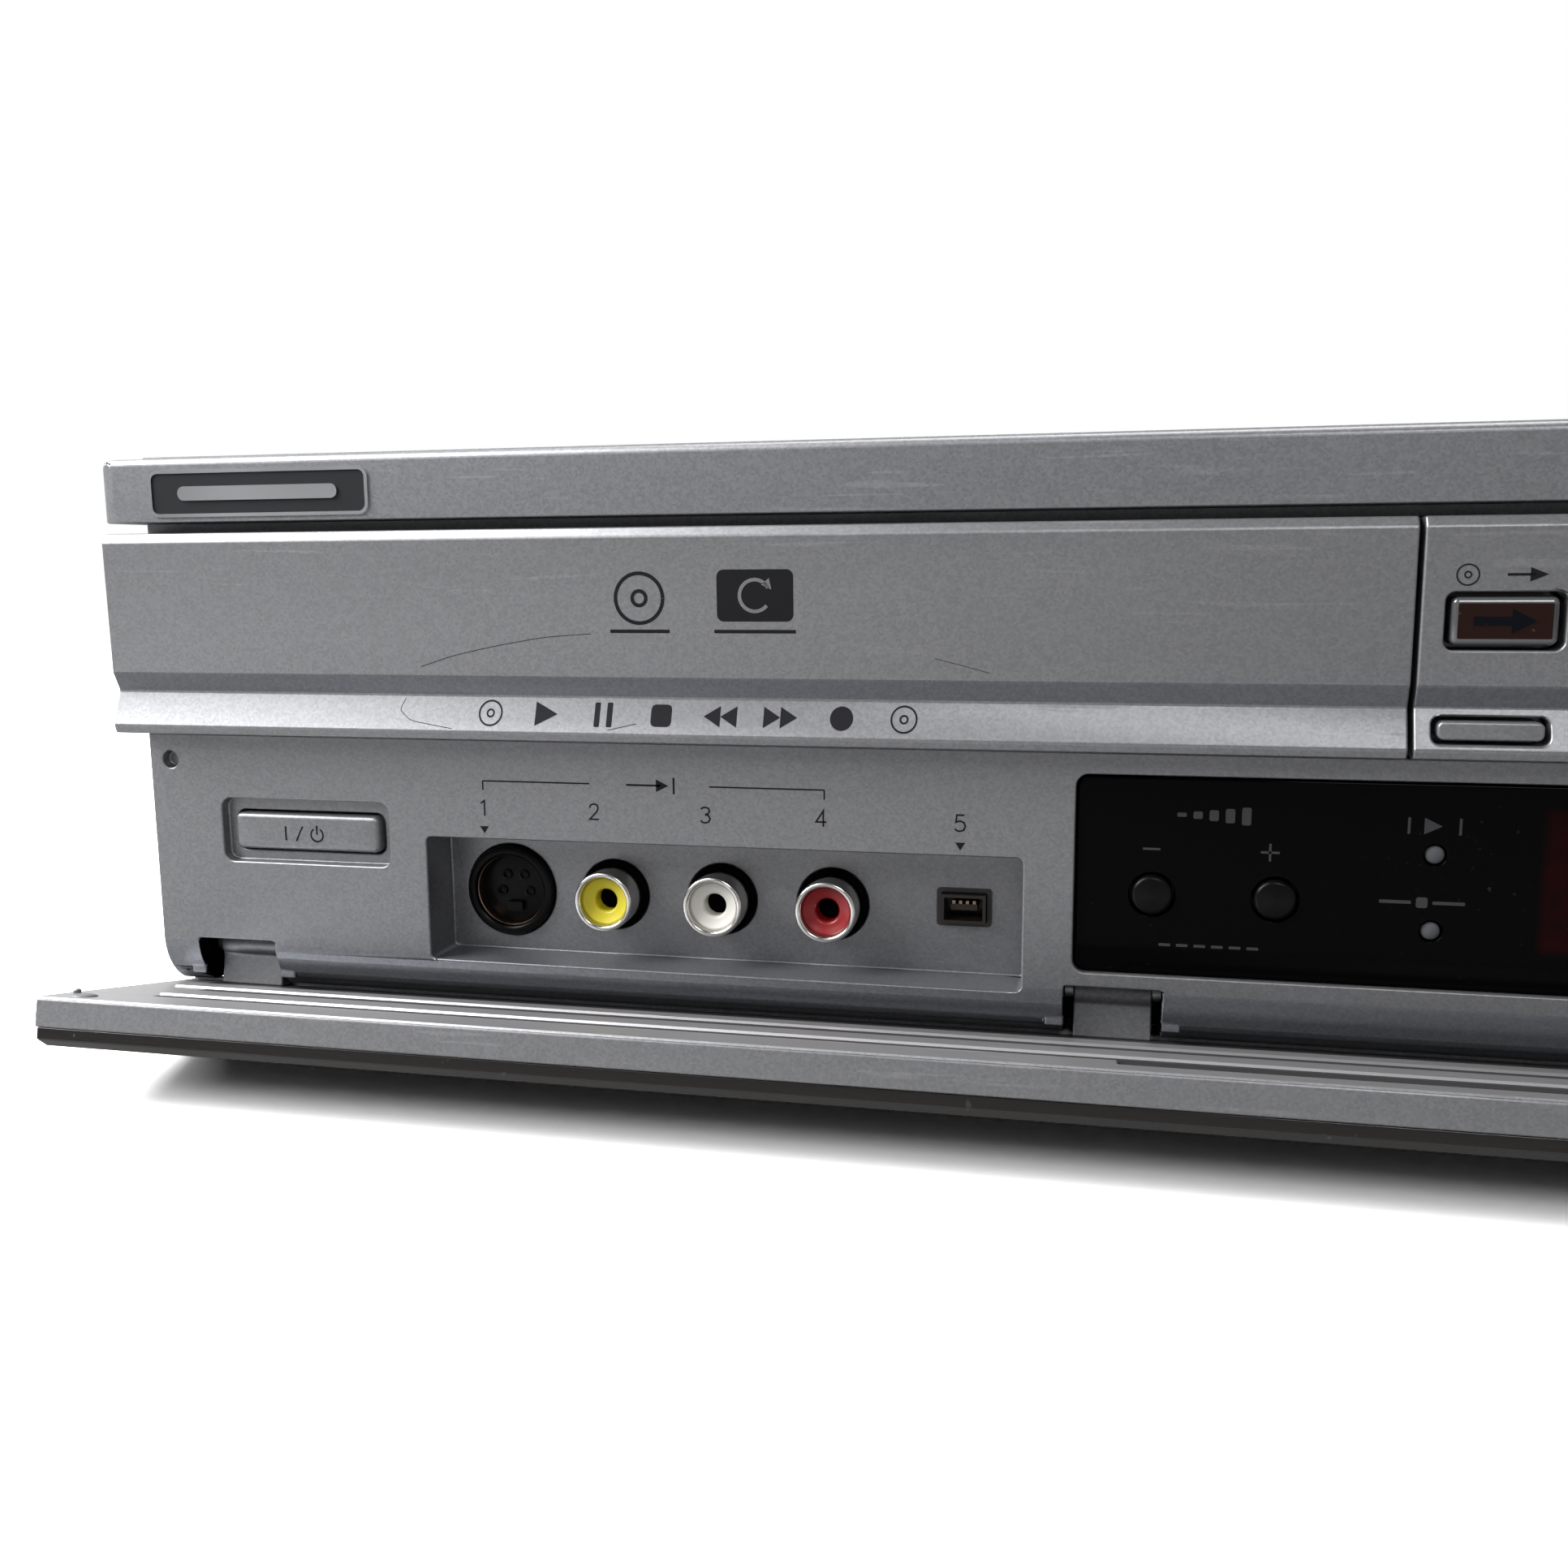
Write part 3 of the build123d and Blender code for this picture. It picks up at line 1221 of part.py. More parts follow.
def vcr_deck():
    """The tape drive's steel plate: folded ends, side guides with rails and holes for what passes through."""
    y1 = deck_front + deck_length
    body = block(deck_left, deck_right, deck_front, y1, deck_z, deck_z + deck_plate)
    for y in (deck_front, y1 - deck_plate):
        body += block(deck_left, deck_right, y, y + deck_plate, pan_top, deck_z + deck_plate)
    guide_y1 = carriage_front + carriage_length + carriage_travel
    for x in (deck_left, deck_right - deck_plate):
        body += block(x, x + deck_plate, deck_front, guide_y1, deck_z, carriage_top + 3.4)
        body -= block(x - 1, x + deck_plate + 1, deck_front + 10, guide_y1 - 30, deck_z + 8, carriage_top - 8)
    body += rod_along_z(10, capstan_x, capstan_y, deck_z, deck_z + 12)
    body -= rod_along_z(capstan_diameter + capstan_fit, capstan_x, capstan_y, deck_z - 1, deck_z + 13)
    for side in (-1, 1):
        body -= rod_along_z(9, slot_mid_x + side * reel_spacing / 2, reel_y, deck_z - 1, deck_z + 3)
    body -= block(slot_mid_x - 30, slot_mid_x + 30, deck_front + 20, deck_front + 44, deck_z - 1, deck_z + 3)
    return body


drum_low = deck_z + deck_plate
drum_place = Pos(slot_mid_x, drum_y, drum_low + 4) * Rot(drum_tilt, 0, 0)


def drum_base():
    """The fixed lower drum on its foot, with the tape's ledge cut as a step."""
    foot = block(slot_mid_x - 24, slot_mid_x + 24, drum_y - 24, drum_y + 24, drum_low, drum_low + 2)
    lower = drum_place * Cylinder(drum_diameter / 2, drum_base_height,
                                  align=(Align.CENTER, Align.CENTER, Align.MIN))
    body = foot + lower + rod_along_z(44, slot_mid_x, drum_y, drum_low, drum_low + 6)
    bore = drum_place * Pos(0, 0, drum_base_height - 8) * Cylinder(3.1, 10, align=(
        Align.CENTER, Align.CENTER, Align.MIN))
    return body - bore


def head_drum():
    """The turning upper drum, with two head windows at its lower edge and its shaft."""
    base = Pos(0, 0, drum_base_height + 0.3)
    body = base * Cylinder(drum_diameter / 2, drum_height, align=(Align.CENTER, Align.CENTER, Align.MIN))
    for side in (-1, 1):
        body -= base * Pos(side * drum_diameter / 2, 0, 1) * Box(3, 5, 2.2)
    body -= base * Pos(0, 0, drum_height - 3) * Cylinder(drum_diameter / 2 - 9, 4, align=(
        Align.CENTER, Align.CENTER, Align.MIN))
    body += Pos(0, 0, drum_base_height - 7) * Cylinder(3.0, 9, align=(Align.CENTER, Align.CENTER, Align.MIN))
    return drum_place * body


def capstan():
    """The capstan's polished shaft on its flywheel below the deck."""
    body = rod_along_z(flywheel_diameter, capstan_x, capstan_y, deck_z - 10, deck_z - 4)
    body += rod_along_z(12, capstan_x, capstan_y, deck_z - 4, deck_z - 0.4)
    body += rod_along_z(capstan_diameter, capstan_x, capstan_y, deck_z - 12, deck_z + 22)
    return body


def reel(side):
    """A reel table: rubber rim, disc and the six-sided driving spindle."""
    x = slot_mid_x + side * reel_spacing / 2
    low = deck_z + deck_plate + 0.4
    body = rod_along_z(reel_diameter, x, reel_y, low, low + 2.2)
    body += rod_along_z(10, x, reel_y, low + 2, low + 6.5)
    body += rod_along_z(5, x, reel_y, deck_z - 5, low + 1)
    for i in range(3):
        body += Pos(x, reel_y, low + 4.4) * Rot(0, 0, i * 120) * Pos(5, 0, 0) * Box(3, 1.4, 4.2)
    return body


# ---- Everything, under its name ----
pieces = {
    "bottom_chassis": bottom_chassis(), "rear_panel": rear_panel(), "top_cover": top_cover(),
    "front_bezel": front_bezel(), "front_cap": front_cap(), "display_window": display_window(),
    "display_tube": display_tube(), "front_board": front_board(), "jack_board": jack_board(),
    "svideo_jack": svideo_jack(), "rca_shells": rca_shells(), "rca_inserts": rca_inserts(),
    "dv_socket": dv_socket(), "status_leds": status_leds(),
    "power_button": power_button(), "dub_left_button": dub_button(dub_x),
    "dub_right_button": dub_button(dub_mirror_x), "tray_button": pill_button(pill_x),
    "eject_button": pill_button(pill_mirror_x), "channel_down_button": channel_button(channel_down_x),
    "channel_up_button": channel_button(channel_up_x), "rewind_button": transport_button(transport_xs[0]),
    "play_button": transport_button(transport_xs[1]), "forward_button": transport_button(transport_xs[2]),
    "door_frame": door_frame(), "door_panel": door_panel(), "door_arms": door_arms(), "door_pins": door_pins(),
    "tray_lid": lid(), "disc_tray": disc_tray(), "drive_gear": drive_gear(), "belt_pulley": belt_pulley(),
    "motor_pulley": motor_pulley(), "loading_motor": loading_motor(), "loading_belt": loading_belt(),
    "drive_base": drive_base(), "drive_cover": drive_cover(), "disc_clamp": disc_clamp(),
    "traverse_frame": traverse_frame(), "guide_rods": guide_rods(), "pickup": pickup(), "turntable": turntable(),
    "cassette_flap": cassette_flap(), "cassette_carriage": cassette_carriage(), "carriage_slides": carriage_slides(),
    "vcr_deck": vcr_deck(), "drum_base": drum_base(), "head_drum": head_drum(), "capstan": capstan(),
    "supply_reel": reel(-1), "takeup_reel": reel(1),
    "main_board": main_board(), "power_board": power_board(),
    "fan_frame": fan_frame(), "fan_rotor": fan_rotor(), "rear_jacks": rear_jacks(), "tuner": tuner(),
    "cord_gland": cord_gland(), "feet": feet(), "cover_screws": cover_screws(),
}

reach = Compound([solid for shape in pieces.values() for solid in shape.solids()]).bounding_box()
centre_x = (reach.min.X + reach.max.X) / 2
centre_y = (reach.min.Y + reach.max.Y) / 2
to_frame = Pos(-centre_x, -centre_y, -reach.min.Z)

os.makedirs("parts", exist_ok=True)
for name, shape in pieces.items():
    export_step(to_frame * shape, f"parts/{name}.step")
print("origin", round(centre_x, 4), round(centre_y, 4), round(reach.min.Z, 4))
print("size", [round(v, 2) for v in (reach.size.X, reach.size.Y, reach.size.Z)])
print(len(pieces), "pieces")
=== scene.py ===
import math
import bmesh
import bpy
import numpy as np
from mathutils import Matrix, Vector


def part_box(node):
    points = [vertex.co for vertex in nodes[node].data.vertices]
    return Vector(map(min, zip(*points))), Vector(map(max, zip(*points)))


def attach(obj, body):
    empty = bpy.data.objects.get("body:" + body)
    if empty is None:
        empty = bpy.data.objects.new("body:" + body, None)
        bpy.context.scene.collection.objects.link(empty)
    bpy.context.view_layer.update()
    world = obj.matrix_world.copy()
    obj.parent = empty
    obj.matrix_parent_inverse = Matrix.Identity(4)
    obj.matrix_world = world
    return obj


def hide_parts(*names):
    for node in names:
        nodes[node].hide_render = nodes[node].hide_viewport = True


# A disc and tape player with its front door down, dressed for its portrait.
# Places are written as in the drawing: millimetres from the left end of the drawer's front,
# back from its face and up from the table. place() turns them into the frame's metres.

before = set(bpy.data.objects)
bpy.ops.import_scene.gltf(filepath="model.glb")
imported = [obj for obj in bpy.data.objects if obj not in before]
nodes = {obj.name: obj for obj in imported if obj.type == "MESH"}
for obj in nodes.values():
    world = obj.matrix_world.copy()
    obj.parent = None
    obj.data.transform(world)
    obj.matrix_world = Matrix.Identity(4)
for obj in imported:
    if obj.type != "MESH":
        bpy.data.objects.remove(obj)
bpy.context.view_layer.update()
mm = 0.001
stripReach = 0.43                                   # the slanted strip stands this far before the face
drawerLow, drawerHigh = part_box("tray_lid")
zero = np.array([drawerLow.x, drawerLow.y + stripReach * mm, 0.0])
drawerWidth = (drawerHigh.x - drawerLow.x) / mm


def place(points):
    return np.asarray(points, float) * mm + zero


def spot(x, y, z):
    return Vector(place((x, y, z)))


print("frame read:", len(nodes), "nodes, drawer front", round(drawerWidth, 1), "mm wide")

# Shader helpers


def addNode(tree, kind, inputs=None, **settings):
    made = tree.nodes.new(kind)
    for key, value in settings.items():
        setattr(made, key, value)
    for key, value in (inputs or {}).items():
        if isinstance(value, bpy.types.NodeSocket):
            tree.links.new(value, made.inputs[key])
        else:
            made.inputs[key].default_value = value
    return made


def maths(tree, operation, first, second=0.0, clamp=False):
    made = addNode(tree, "ShaderNodeMath", {0: first, 1: second}, operation=operation, use_clamp=clamp)
    return made.outputs[0]


def ramp(tree, value, low, high, outLow=0.0, outHigh=1.0):
    made = addNode(tree, "ShaderNodeMapRange", {"Value": value, "From Min": low, "From Max": high,
                                                "To Min": outLow, "To Max": outHigh}, clamp=True)
    return made.outputs["Result"]


def blendColours(tree, factor, first, second):
    return addNode(tree, "ShaderNodeMix", {0: factor, 6: first, 7: second}, data_type="RGBA").outputs[2]


def objectPlace(tree):
    return addNode(tree, "ShaderNodeTexCoord").outputs["Object"]


def noise(tree, where, scale, detail=2.0, distortion=0.0):
    made = addNode(tree, "ShaderNodeTexNoise", {"Vector": where, "Scale": scale, "Detail": detail,
                                                "Distortion": distortion})
    return made.outputs["Fac"]


def newGroup(name, inputs, outputs):
    tree = bpy.data.node_groups.new(name, "ShaderNodeTree")
    kinds = {"value": "NodeSocketFloat", "colour": "NodeSocketColor", "vector": "NodeSocketVector"}
    for label, kind, start in inputs:
        tree.interface.new_socket(label, in_out="INPUT", socket_type=kinds[kind]).default_value = start
    for label, kind in outputs:
        tree.interface.new_socket(label, in_out="OUTPUT", socket_type=kinds[kind])
    return tree, tree.nodes.new("NodeGroupInput"), tree.nodes.new("NodeGroupOutput")


flakeLook = {"fineScale": 1500.0, "cloudScale": 14.0, "drift": 0.10, "bumpDistance": 0.00004}


def makeFlakeGroup():
    # Metal flake: each small cell takes its own brightness and a tiny tilt; a slow cloud moves the tone.
    inputs = [("Colour", "colour", (0.5, 0.5, 0.5, 1)), ("Scale", "value", 2600),
              ("Contrast", "value", 0.25), ("Depth", "value", 0.1)]
    tree, given, put = newGroup("flakeSpeckle", inputs, [("Colour", "colour"), ("Normal", "vector")])
    where = objectPlace(tree)
    cells = addNode(tree, "ShaderNodeTexVoronoi", {"Vector": where, "Scale": given.outputs["Scale"]})
    fine = noise(tree, where, flakeLook["fineScale"], 3.0)
    cloud = noise(tree, where, flakeLook["cloudScale"])
    tone = addNode(tree, "ShaderNodeSeparateColor", {"Color": cells.outputs["Color"]}).outputs[0]
    spread = maths(tree, "MULTIPLY", maths(tree, "SUBTRACT", tone, 0.5), given.outputs["Contrast"])
    drift = maths(tree, "MULTIPLY", maths(tree, "SUBTRACT", cloud, 0.5), flakeLook["drift"])
    level = maths(tree, "ADD", maths(tree, "ADD", 1.0, spread), drift)
    colour = addNode(tree, "ShaderNodeVectorMath", {0: given.outputs["Colour"], 1: level},
                     operation="MULTIPLY")
    height = maths(tree, "ADD", tone, fine)
    bump = addNode(tree, "ShaderNodeBump", {"Height": height, "Strength": given.outputs["Depth"],
                                            "Distance": flakeLook["bumpDistance"]})
    tree.links.new(colour.outputs[0], put.inputs["Colour"])
    tree.links.new(bump.outputs["Normal"], put.inputs["Normal"])
    return tree


markLook = {"leans": ((0.4, 26.0), (-0.9, 34.0), (1.45, 22.0)), "peak": (0.70, 0.74), "waver": 0.3}


def makeMarkGroup():
    # Handling marks: noise stretched along three leaning lines (turn, stretch) and cut to its thin peaks.
    tree, given, put = newGroup("handlingMarks", [("Scale", "value", 60.0), ("Amount", "value", 0.5)],
                                [("Mask", "value")])
    where = objectPlace(tree)
    total = None
    for turn, stretch in markLook["leans"]:
        leaned = addNode(tree, "ShaderNodeMapping", {"Vector": where, "Rotation": (0.0, turn, turn * 0.5),
                                                     "Scale": (1.0, stretch, stretch)})
        streak = noise(tree, leaned.outputs[0], given.outputs["Scale"], 1.0, markLook["waver"])
        line = ramp(tree, streak, *markLook["peak"])
        total = line if total is None else maths(tree, "MAXIMUM", total, line)
    mask = maths(tree, "MULTIPLY", total, given.outputs["Amount"], clamp=True)
    tree.links.new(mask, put.inputs["Mask"])
    return tree


dustLook = {"patchScale": 25.0, "grainPeak": (0.70, 0.78), "patchPeak": (0.45, 0.65)}


def makeDustGroup():
    # Dust: rare peaks of a fine noise, thinned where a slow noise is low.
    tree, given, put = newGroup("dustSpecks", [("Scale", "value", 900.0), ("Amount", "value", 0.5)],
                                [("Mask", "value")])
    where = objectPlace(tree)
    grains = noise(tree, where, given.outputs["Scale"])
    patch = noise(tree, where, dustLook["patchScale"])
    speck = maths(tree, "MULTIPLY", ramp(tree, grains, *dustLook["grainPeak"]),
                  ramp(tree, patch, *dustLook["patchPeak"]))
    tree.links.new(maths(tree, "MULTIPLY", speck, given.outputs["Amount"], clamp=True), put.inputs["Mask"])
    return tree


flakeGroup = makeFlakeGroup()
markGroup = makeMarkGroup()
dustGroup = makeDustGroup()


def useGroup(tree, group, inputs):
    made = tree.nodes.new("ShaderNodeGroup")
    made.node_tree = group
    for key, value in inputs.items():
        made.inputs[key].default_value = value
    return made


def newMaterial(name, **constants):
    material = bpy.data.materials.new(name)
    material.use_nodes = True
    shader = material.node_tree.nodes["Principled BSDF"]
    for key, value in constants.items():
        shader.inputs[key.replace("_", " ")].default_value = value
    return material, material.node_tree, shader


def paintMaterial(name, look):
    # Metallic paint: flake in colour and normal, and marks that roughen it.
    material, tree, shader = newMaterial(name, Metallic=look["metallic"], Specular_IOR_Level=0.5)
    flake = useGroup(tree, flakeGroup, {"Colour": (*look["colour"], 1), "Scale": look["flakeScale"],
                                        "Contrast": look["contrast"], "Depth": look["depth"]})
    marks = useGroup(tree, markGroup, {"Scale": 45.0, "Amount": look["marks"]})
    dust = useGroup(tree, dustGroup, {"Scale": 1100.0, "Amount": 0.35})
    roughness = maths(tree, "ADD", look["roughness"], maths(tree, "MULTIPLY", marks.outputs["Mask"], 0.2))
    colour = blendColours(tree, maths(tree, "MULTIPLY", dust.outputs["Mask"], 0.3), flake.outputs["Colour"],
                          (0.6, 0.59, 0.57, 1))
    if "paintedHighlightColour" in look:
        # Painted highlight: camera rays see a paler copy of the paint and other rays the plain one, so the
        # face looks more brightly lit than its light makes it.
        seen = addNode(tree, "ShaderNodeLightPath").outputs["Is Camera Ray"]
        colour = blendColours(tree, seen, colour, (*look["paintedHighlightColour"], 1))
    tree.links.new(colour, shader.inputs["Base Color"])
    tree.links.new(roughness, shader.inputs["Roughness"])
    tree.links.new(flake.outputs["Normal"], shader.inputs["Normal"])
    return material


def mouldedMaterial(name, look):
    # Moulded or sheet material: fine grain in the normal, uneven gloss, a little dust.
    material, tree, shader = newMaterial(name, Metallic=look.get("metallic", 0.0),
                                         Specular_IOR_Level=look.get("specular", 0.5),
                                         Coat_Weight=look.get("coat", 0.0), Coat_Roughness=0.05)
    where = objectPlace(tree)
    if "stretch" in look:
        where = addNode(tree, "ShaderNodeMapping", {"Vector": where, "Scale": look["stretch"]}).outputs[0]
    grain = noise(tree, where, look.get("grainScale", 1800.0), 4.0)
    slow = noise(tree, where, look.get("slowScale", 30.0))
    dust = useGroup(tree, dustGroup, {"Scale": 1000.0, "Amount": look.get("dust", 0.3)})
    base, vary = np.array(look["colour"]), look.get("vary", 0.1)
    low, high = base * (1 - vary), np.minimum(base * (1 + vary), 1)
    tone = blendColours(tree, slow, (*low, 1), (*high, 1))
    dusty = maths(tree, "MULTIPLY", dust.outputs["Mask"], 0.35)
    colour = blendColours(tree, dusty, tone, (0.5, 0.49, 0.47, 1))
    rough = look["roughness"]
    roughness = ramp(tree, slow, 0.3, 0.7, rough * 0.85, min(rough * 1.15, 1.0))
    bump = addNode(tree, "ShaderNodeBump", {"Height": grain, "Strength": look.get("depth", 0.1),
                                            "Distance": 0.00005})
    tree.links.new(colour, shader.inputs["Base Color"])
    tree.links.new(roughness, shader.inputs["Roughness"])
    tree.links.new(bump.outputs["Normal"], shader.inputs["Normal"])
    return material


paintLook = {"colour": (0.235, 0.237, 0.247), "metallic": 0.75, "roughness": 0.40, "flakeScale": 3200.0,
             "contrast": 0.22, "depth": 0.10, "marks": 0.4}
silverPaint = paintMaterial("silverPaint", paintLook)
capPaint = paintMaterial("capPaint", dict(paintLook, colour=(0.24, 0.243, 0.255), contrast=0.26))
# A darker copy of the paint for down-facing faces: painted shade.
paintedShadePaint = paintMaterial("paintedShadePaint", dict(paintLook, colour=(0.145, 0.15, 0.165)))
# A darker, bluer copy of the paint for the chin's lower faces: painted shade.
chinShadePaint = paintMaterial("chinShadePaint", dict(paintLook, colour=(0.225, 0.232, 0.25)))
# A lit copy of the silver paint: painted highlight on the door's upward inner faces and ridges.
paintedHighlightPaint = paintMaterial("paintedHighlightPaint", dict(paintLook, paintedHighlightColour=(0.38, 0.372, 0.38), marks=0.6))
coverPaint = paintMaterial("coverPaint", dict(paintLook, colour=(0.33, 0.33, 0.335), metallic=0.3,
                                              roughness=0.6))
finishes = {
    "zincSteel": {"colour": (0.60, 0.61, 0.62), "metallic": 1.0, "roughness": 0.38, "vary": 0.06,
                  "depth": 0.1, "stretch": (1.0, 12.0, 12.0), "grainScale": 500.0},
    "smokedPanel": {"colour": (0.016, 0.014, 0.0135), "roughness": 0.16, "vary": 0.25, "depth": 0.12,
                    "stretch": (0.2, 8.0, 8.0), "grainScale": 700.0, "slowScale": 25.0, "dust": 0.5},
    "blackMatt": {"colour": (0.022, 0.022, 0.023), "roughness": 0.55, "depth": 0.25},
    "nickel": {"colour": (0.66, 0.64, 0.61), "metallic": 1.0, "roughness": 0.2, "vary": 0.05, "depth": 0.03},
    "lampGrey": {"colour": (0.085, 0.088, 0.095), "roughness": 0.6, "depth": 0.03, "specular": 0.2},
    "solderMask": {"colour": (0.035, 0.13, 0.05), "roughness": 0.35, "vary": 0.2, "depth": 0.1},
    "whiteMoulding": {"colour": (0.74, 0.73, 0.69), "roughness": 0.45, "depth": 0.1},
    "greyMoulding": {"colour": (0.16, 0.16, 0.17), "roughness": 0.5, "depth": 0.15},
    "rubber": {"colour": (0.024, 0.024, 0.025), "roughness": 0.8, "depth": 0.3},
    "turnedAluminium": {"colour": (0.62, 0.62, 0.63), "metallic": 1.0, "roughness": 0.25, "vary": 0.05,
                        "stretch": (1.0, 1.0, 30.0), "grainScale": 300.0},
    "yellowInsert": {"colour": (0.58, 0.49, 0.02), "roughness": 0.35, "depth": 0.05, "vary": 0.06},
    "whiteInsert": {"colour": (0.66, 0.65, 0.60), "roughness": 0.35, "depth": 0.05, "vary": 0.05},
    "redInsert": {"colour": (0.24, 0.006, 0.009), "roughness": 0.35, "depth": 0.05, "vary": 0.08},
    "blackKey": {"colour": (0.0025, 0.0025, 0.0028), "roughness": 0.3, "depth": 0.03, "specular": 0.14,
                 "dust": 0.15},
    # Near-black with no gloss, put where only shadow would be: painted shade in wells, gaps and the hinge
    # slots.
    "paintedShadeBlack": {"colour": (0.0015, 0.0014, 0.0014), "roughness": 0.9, "depth": 0.0, "specular": 0.02,
                 "dust": 0.0},
    "innerShade": {"colour": (0.035, 0.034, 0.036), "roughness": 0.5, "depth": 0.1, "specular": 0.2},
    "innerTan": {"colour": (0.42, 0.395, 0.345), "metallic": 0.3, "roughness": 0.45, "depth": 0.3},
    "clearEdge": {"colour": (0.075, 0.077, 0.08), "roughness": 0.1, "coat": 1.0, "depth": 0.02, "vary": 0.3},
    "brownFilm": {"colour": (0.0155, 0.0062, 0.0048), "specular": 0.12, "roughness": 0.3, "depth": 0.02,
                  "vary": 0.15},
    "darkArrow": {"colour": (0.0022, 0.0032, 0.0052), "specular": 0.1, "roughness": 0.35, "depth": 0.02},
    "brownShell": {"colour": (0.030, 0.023, 0.020), "metallic": 0.5, "roughness": 0.35, "depth": 0.05},
    "dullCopper": {"colour": (0.30, 0.21, 0.16), "metallic": 1.0, "roughness": 0.32, "vary": 0.1},
    "satinChrome": {"colour": (0.60, 0.61, 0.63), "metallic": 1.0, "roughness": 0.3, "vary": 0.05},
    "darkField": {"colour": (0.012, 0.014, 0.016), "specular": 0.2, "roughness": 0.5, "depth": 0.1},
    "printInk": {"colour": (0.008, 0.008, 0.010), "specular": 0.12, "roughness": 0.6, "depth": 0.05,
                 "dust": 0.1},
    "windowInk": {"colour": (0.045, 0.045, 0.048), "specular": 0.1, "roughness": 0.6, "depth": 0.05,
                  "dust": 0.1},
}
look = {name: mouldedMaterial(name, finish) for name, finish in finishes.items()}

windowLook = {"glowLeft": 188.0, "glowRight": 250.0, "glowLow": 24.0, "glowHigh": 40.0, "fadeLeft": 0.0012,
              "fade": 0.001, "glow": (0.0125, 0.0012, 0.0016), "black": (0.0012, 0.0012, 0.0013)}


def windowMaterial():
    # Black gloss, with a dull red, slightly uneven rectangle where the display shows through.
    material, tree, shader = newMaterial("displayGloss", Roughness=0.08, Specular_IOR_Level=0.04)
    where = objectPlace(tree)
    axes = addNode(tree, "ShaderNodeSeparateXYZ", {0: where})
    left, bottom = spot(windowLook["glowLeft"], 0, windowLook["glowLow"]).xz
    right, top = spot(windowLook["glowRight"], 0, windowLook["glowHigh"]).xz
    fade = windowLook["fade"]
    inside = maths(tree, "MULTIPLY", ramp(tree, axes.outputs["X"], left - windowLook["fadeLeft"], left),
                   ramp(tree, axes.outputs["X"], right + fade, right))
    inside = maths(tree, "MULTIPLY", inside, ramp(tree, axes.outputs["Z"], bottom - fade, bottom))
    inside = maths(tree, "MULTIPLY", inside, ramp(tree, axes.outputs["Z"], top + fade, top))
    cells = noise(tree, where, 350.0, 1.0)
    glow = maths(tree, "MULTIPLY", inside, ramp(tree, cells, 0.35, 0.7, 0.55, 1.0))
    dust = useGroup(tree, dustGroup, {"Scale": 1500.0, "Amount": 0.5})
    tone = blendColours(tree, glow, (*windowLook["black"], 1), (*windowLook["glow"], 1))
    colour = blendColours(tree, maths(tree, "MULTIPLY", dust.outputs["Mask"], 0.12), tone, (0.3, 0.3, 0.3, 1))
    tree.links.new(colour, shader.inputs["Base Color"])
    return material


displayGloss = windowMaterial()
print("materials made:", len(bpy.data.materials))

# Mesh helpers


def gridFaces(rows, columns, closeRows=False, closeColumns=False):
    # Four corners of every cell of a grid of points, as whole arrays.
    i = np.arange(rows if closeRows else rows - 1)[:, None]
    j = np.arange(columns if closeColumns else columns - 1)[None, :]
    here, below = i * columns, (i + 1) % rows * columns
    nextColumn = (j + 1) % columns
    corners = [here + j, here + nextColumn, below + nextColumn, below + j]
    return np.stack(corners, -1).reshape(-1, 4).tolist()


def tubeFaces(rings, count):
    # Rings of points joined into a tube and closed by its first and last ring.
    faces = gridFaces(rings, count, closeColumns=True)
    return faces + [list(range(count)), list(range((rings - 1) * count, rings * count))[::-1]]


def addObject(name, data):
    made = bpy.data.objects.new(name, data)
    bpy.context.collection.objects.link(made)
    return made


def joinParts(parts):
    points, faces, count = [], [], 0
    for somePoints, someFaces in parts:
        points.append(np.reshape(somePoints, (-1, 3)))
        faces += [[index + count for index in face] for face in someFaces]
        count += len(points[-1])
    return np.concatenate(points), faces


crease = math.radians(32.0)


def makePiece(name, parts, material, body, stands=()):
    # One object from drawing points and faces, its corners merged and its faces turned outwards.
    points, faces = joinParts(parts)
    mesh = bpy.data.meshes.new(name)
    mesh.from_pydata(place(points).tolist(), [], faces)
    shape = bmesh.new()
    shape.from_mesh(mesh)
    bmesh.ops.remove_doubles(shape, verts=shape.verts, dist=1e-7)
    bmesh.ops.recalc_face_normals(shape, faces=shape.faces)
    shape.to_mesh(mesh)
    shape.free()
    mesh.materials.append(material)
    mesh.shade_smooth()
    mesh.set_sharp_from_angle(angle=crease)
    piece = addObject(name, mesh)
    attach(piece, body)
    if stands:
        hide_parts(*stands)


edgeAngle = math.radians(14.0)


def roundedCopy(node, body, material, width):
    # The node's own surface with its split corners merged, its flat faces joined and its edges rounded.
    mesh = nodes[node].data.copy()
    shape = bmesh.new()
    shape.from_mesh(mesh)
    bmesh.ops.remove_doubles(shape, verts=shape.verts, dist=2e-6)
    bmesh.ops.dissolve_limit(shape, angle_limit=math.radians(0.4), verts=shape.verts, edges=shape.edges)
    shape.to_mesh(mesh)
    shape.free()
    mesh.materials.clear()
    mesh.materials.append(material)
    mesh.shade_smooth()
    mesh.set_sharp_from_angle(angle=edgeAngle)
    name = node.split("_")[0] + node.split("_")[-1].capitalize() + "Finish"
    piece = addObject(name, mesh)
    soften = piece.modifiers.new("softEdges", "BEVEL")
    soften.width = width * mm
    soften.segments = 3
    soften.limit_method = "ANGLE"
    soften.angle_limit = edgeAngle
    soften.use_clamp_overlap = False
    soften.harden_normals = True
    soften.miter_outer = "MITER_ARC"
    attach(piece, body)
    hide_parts(node)
    return piece


pole = 0.02                                          # a turned part's closed end stops this far from its axis


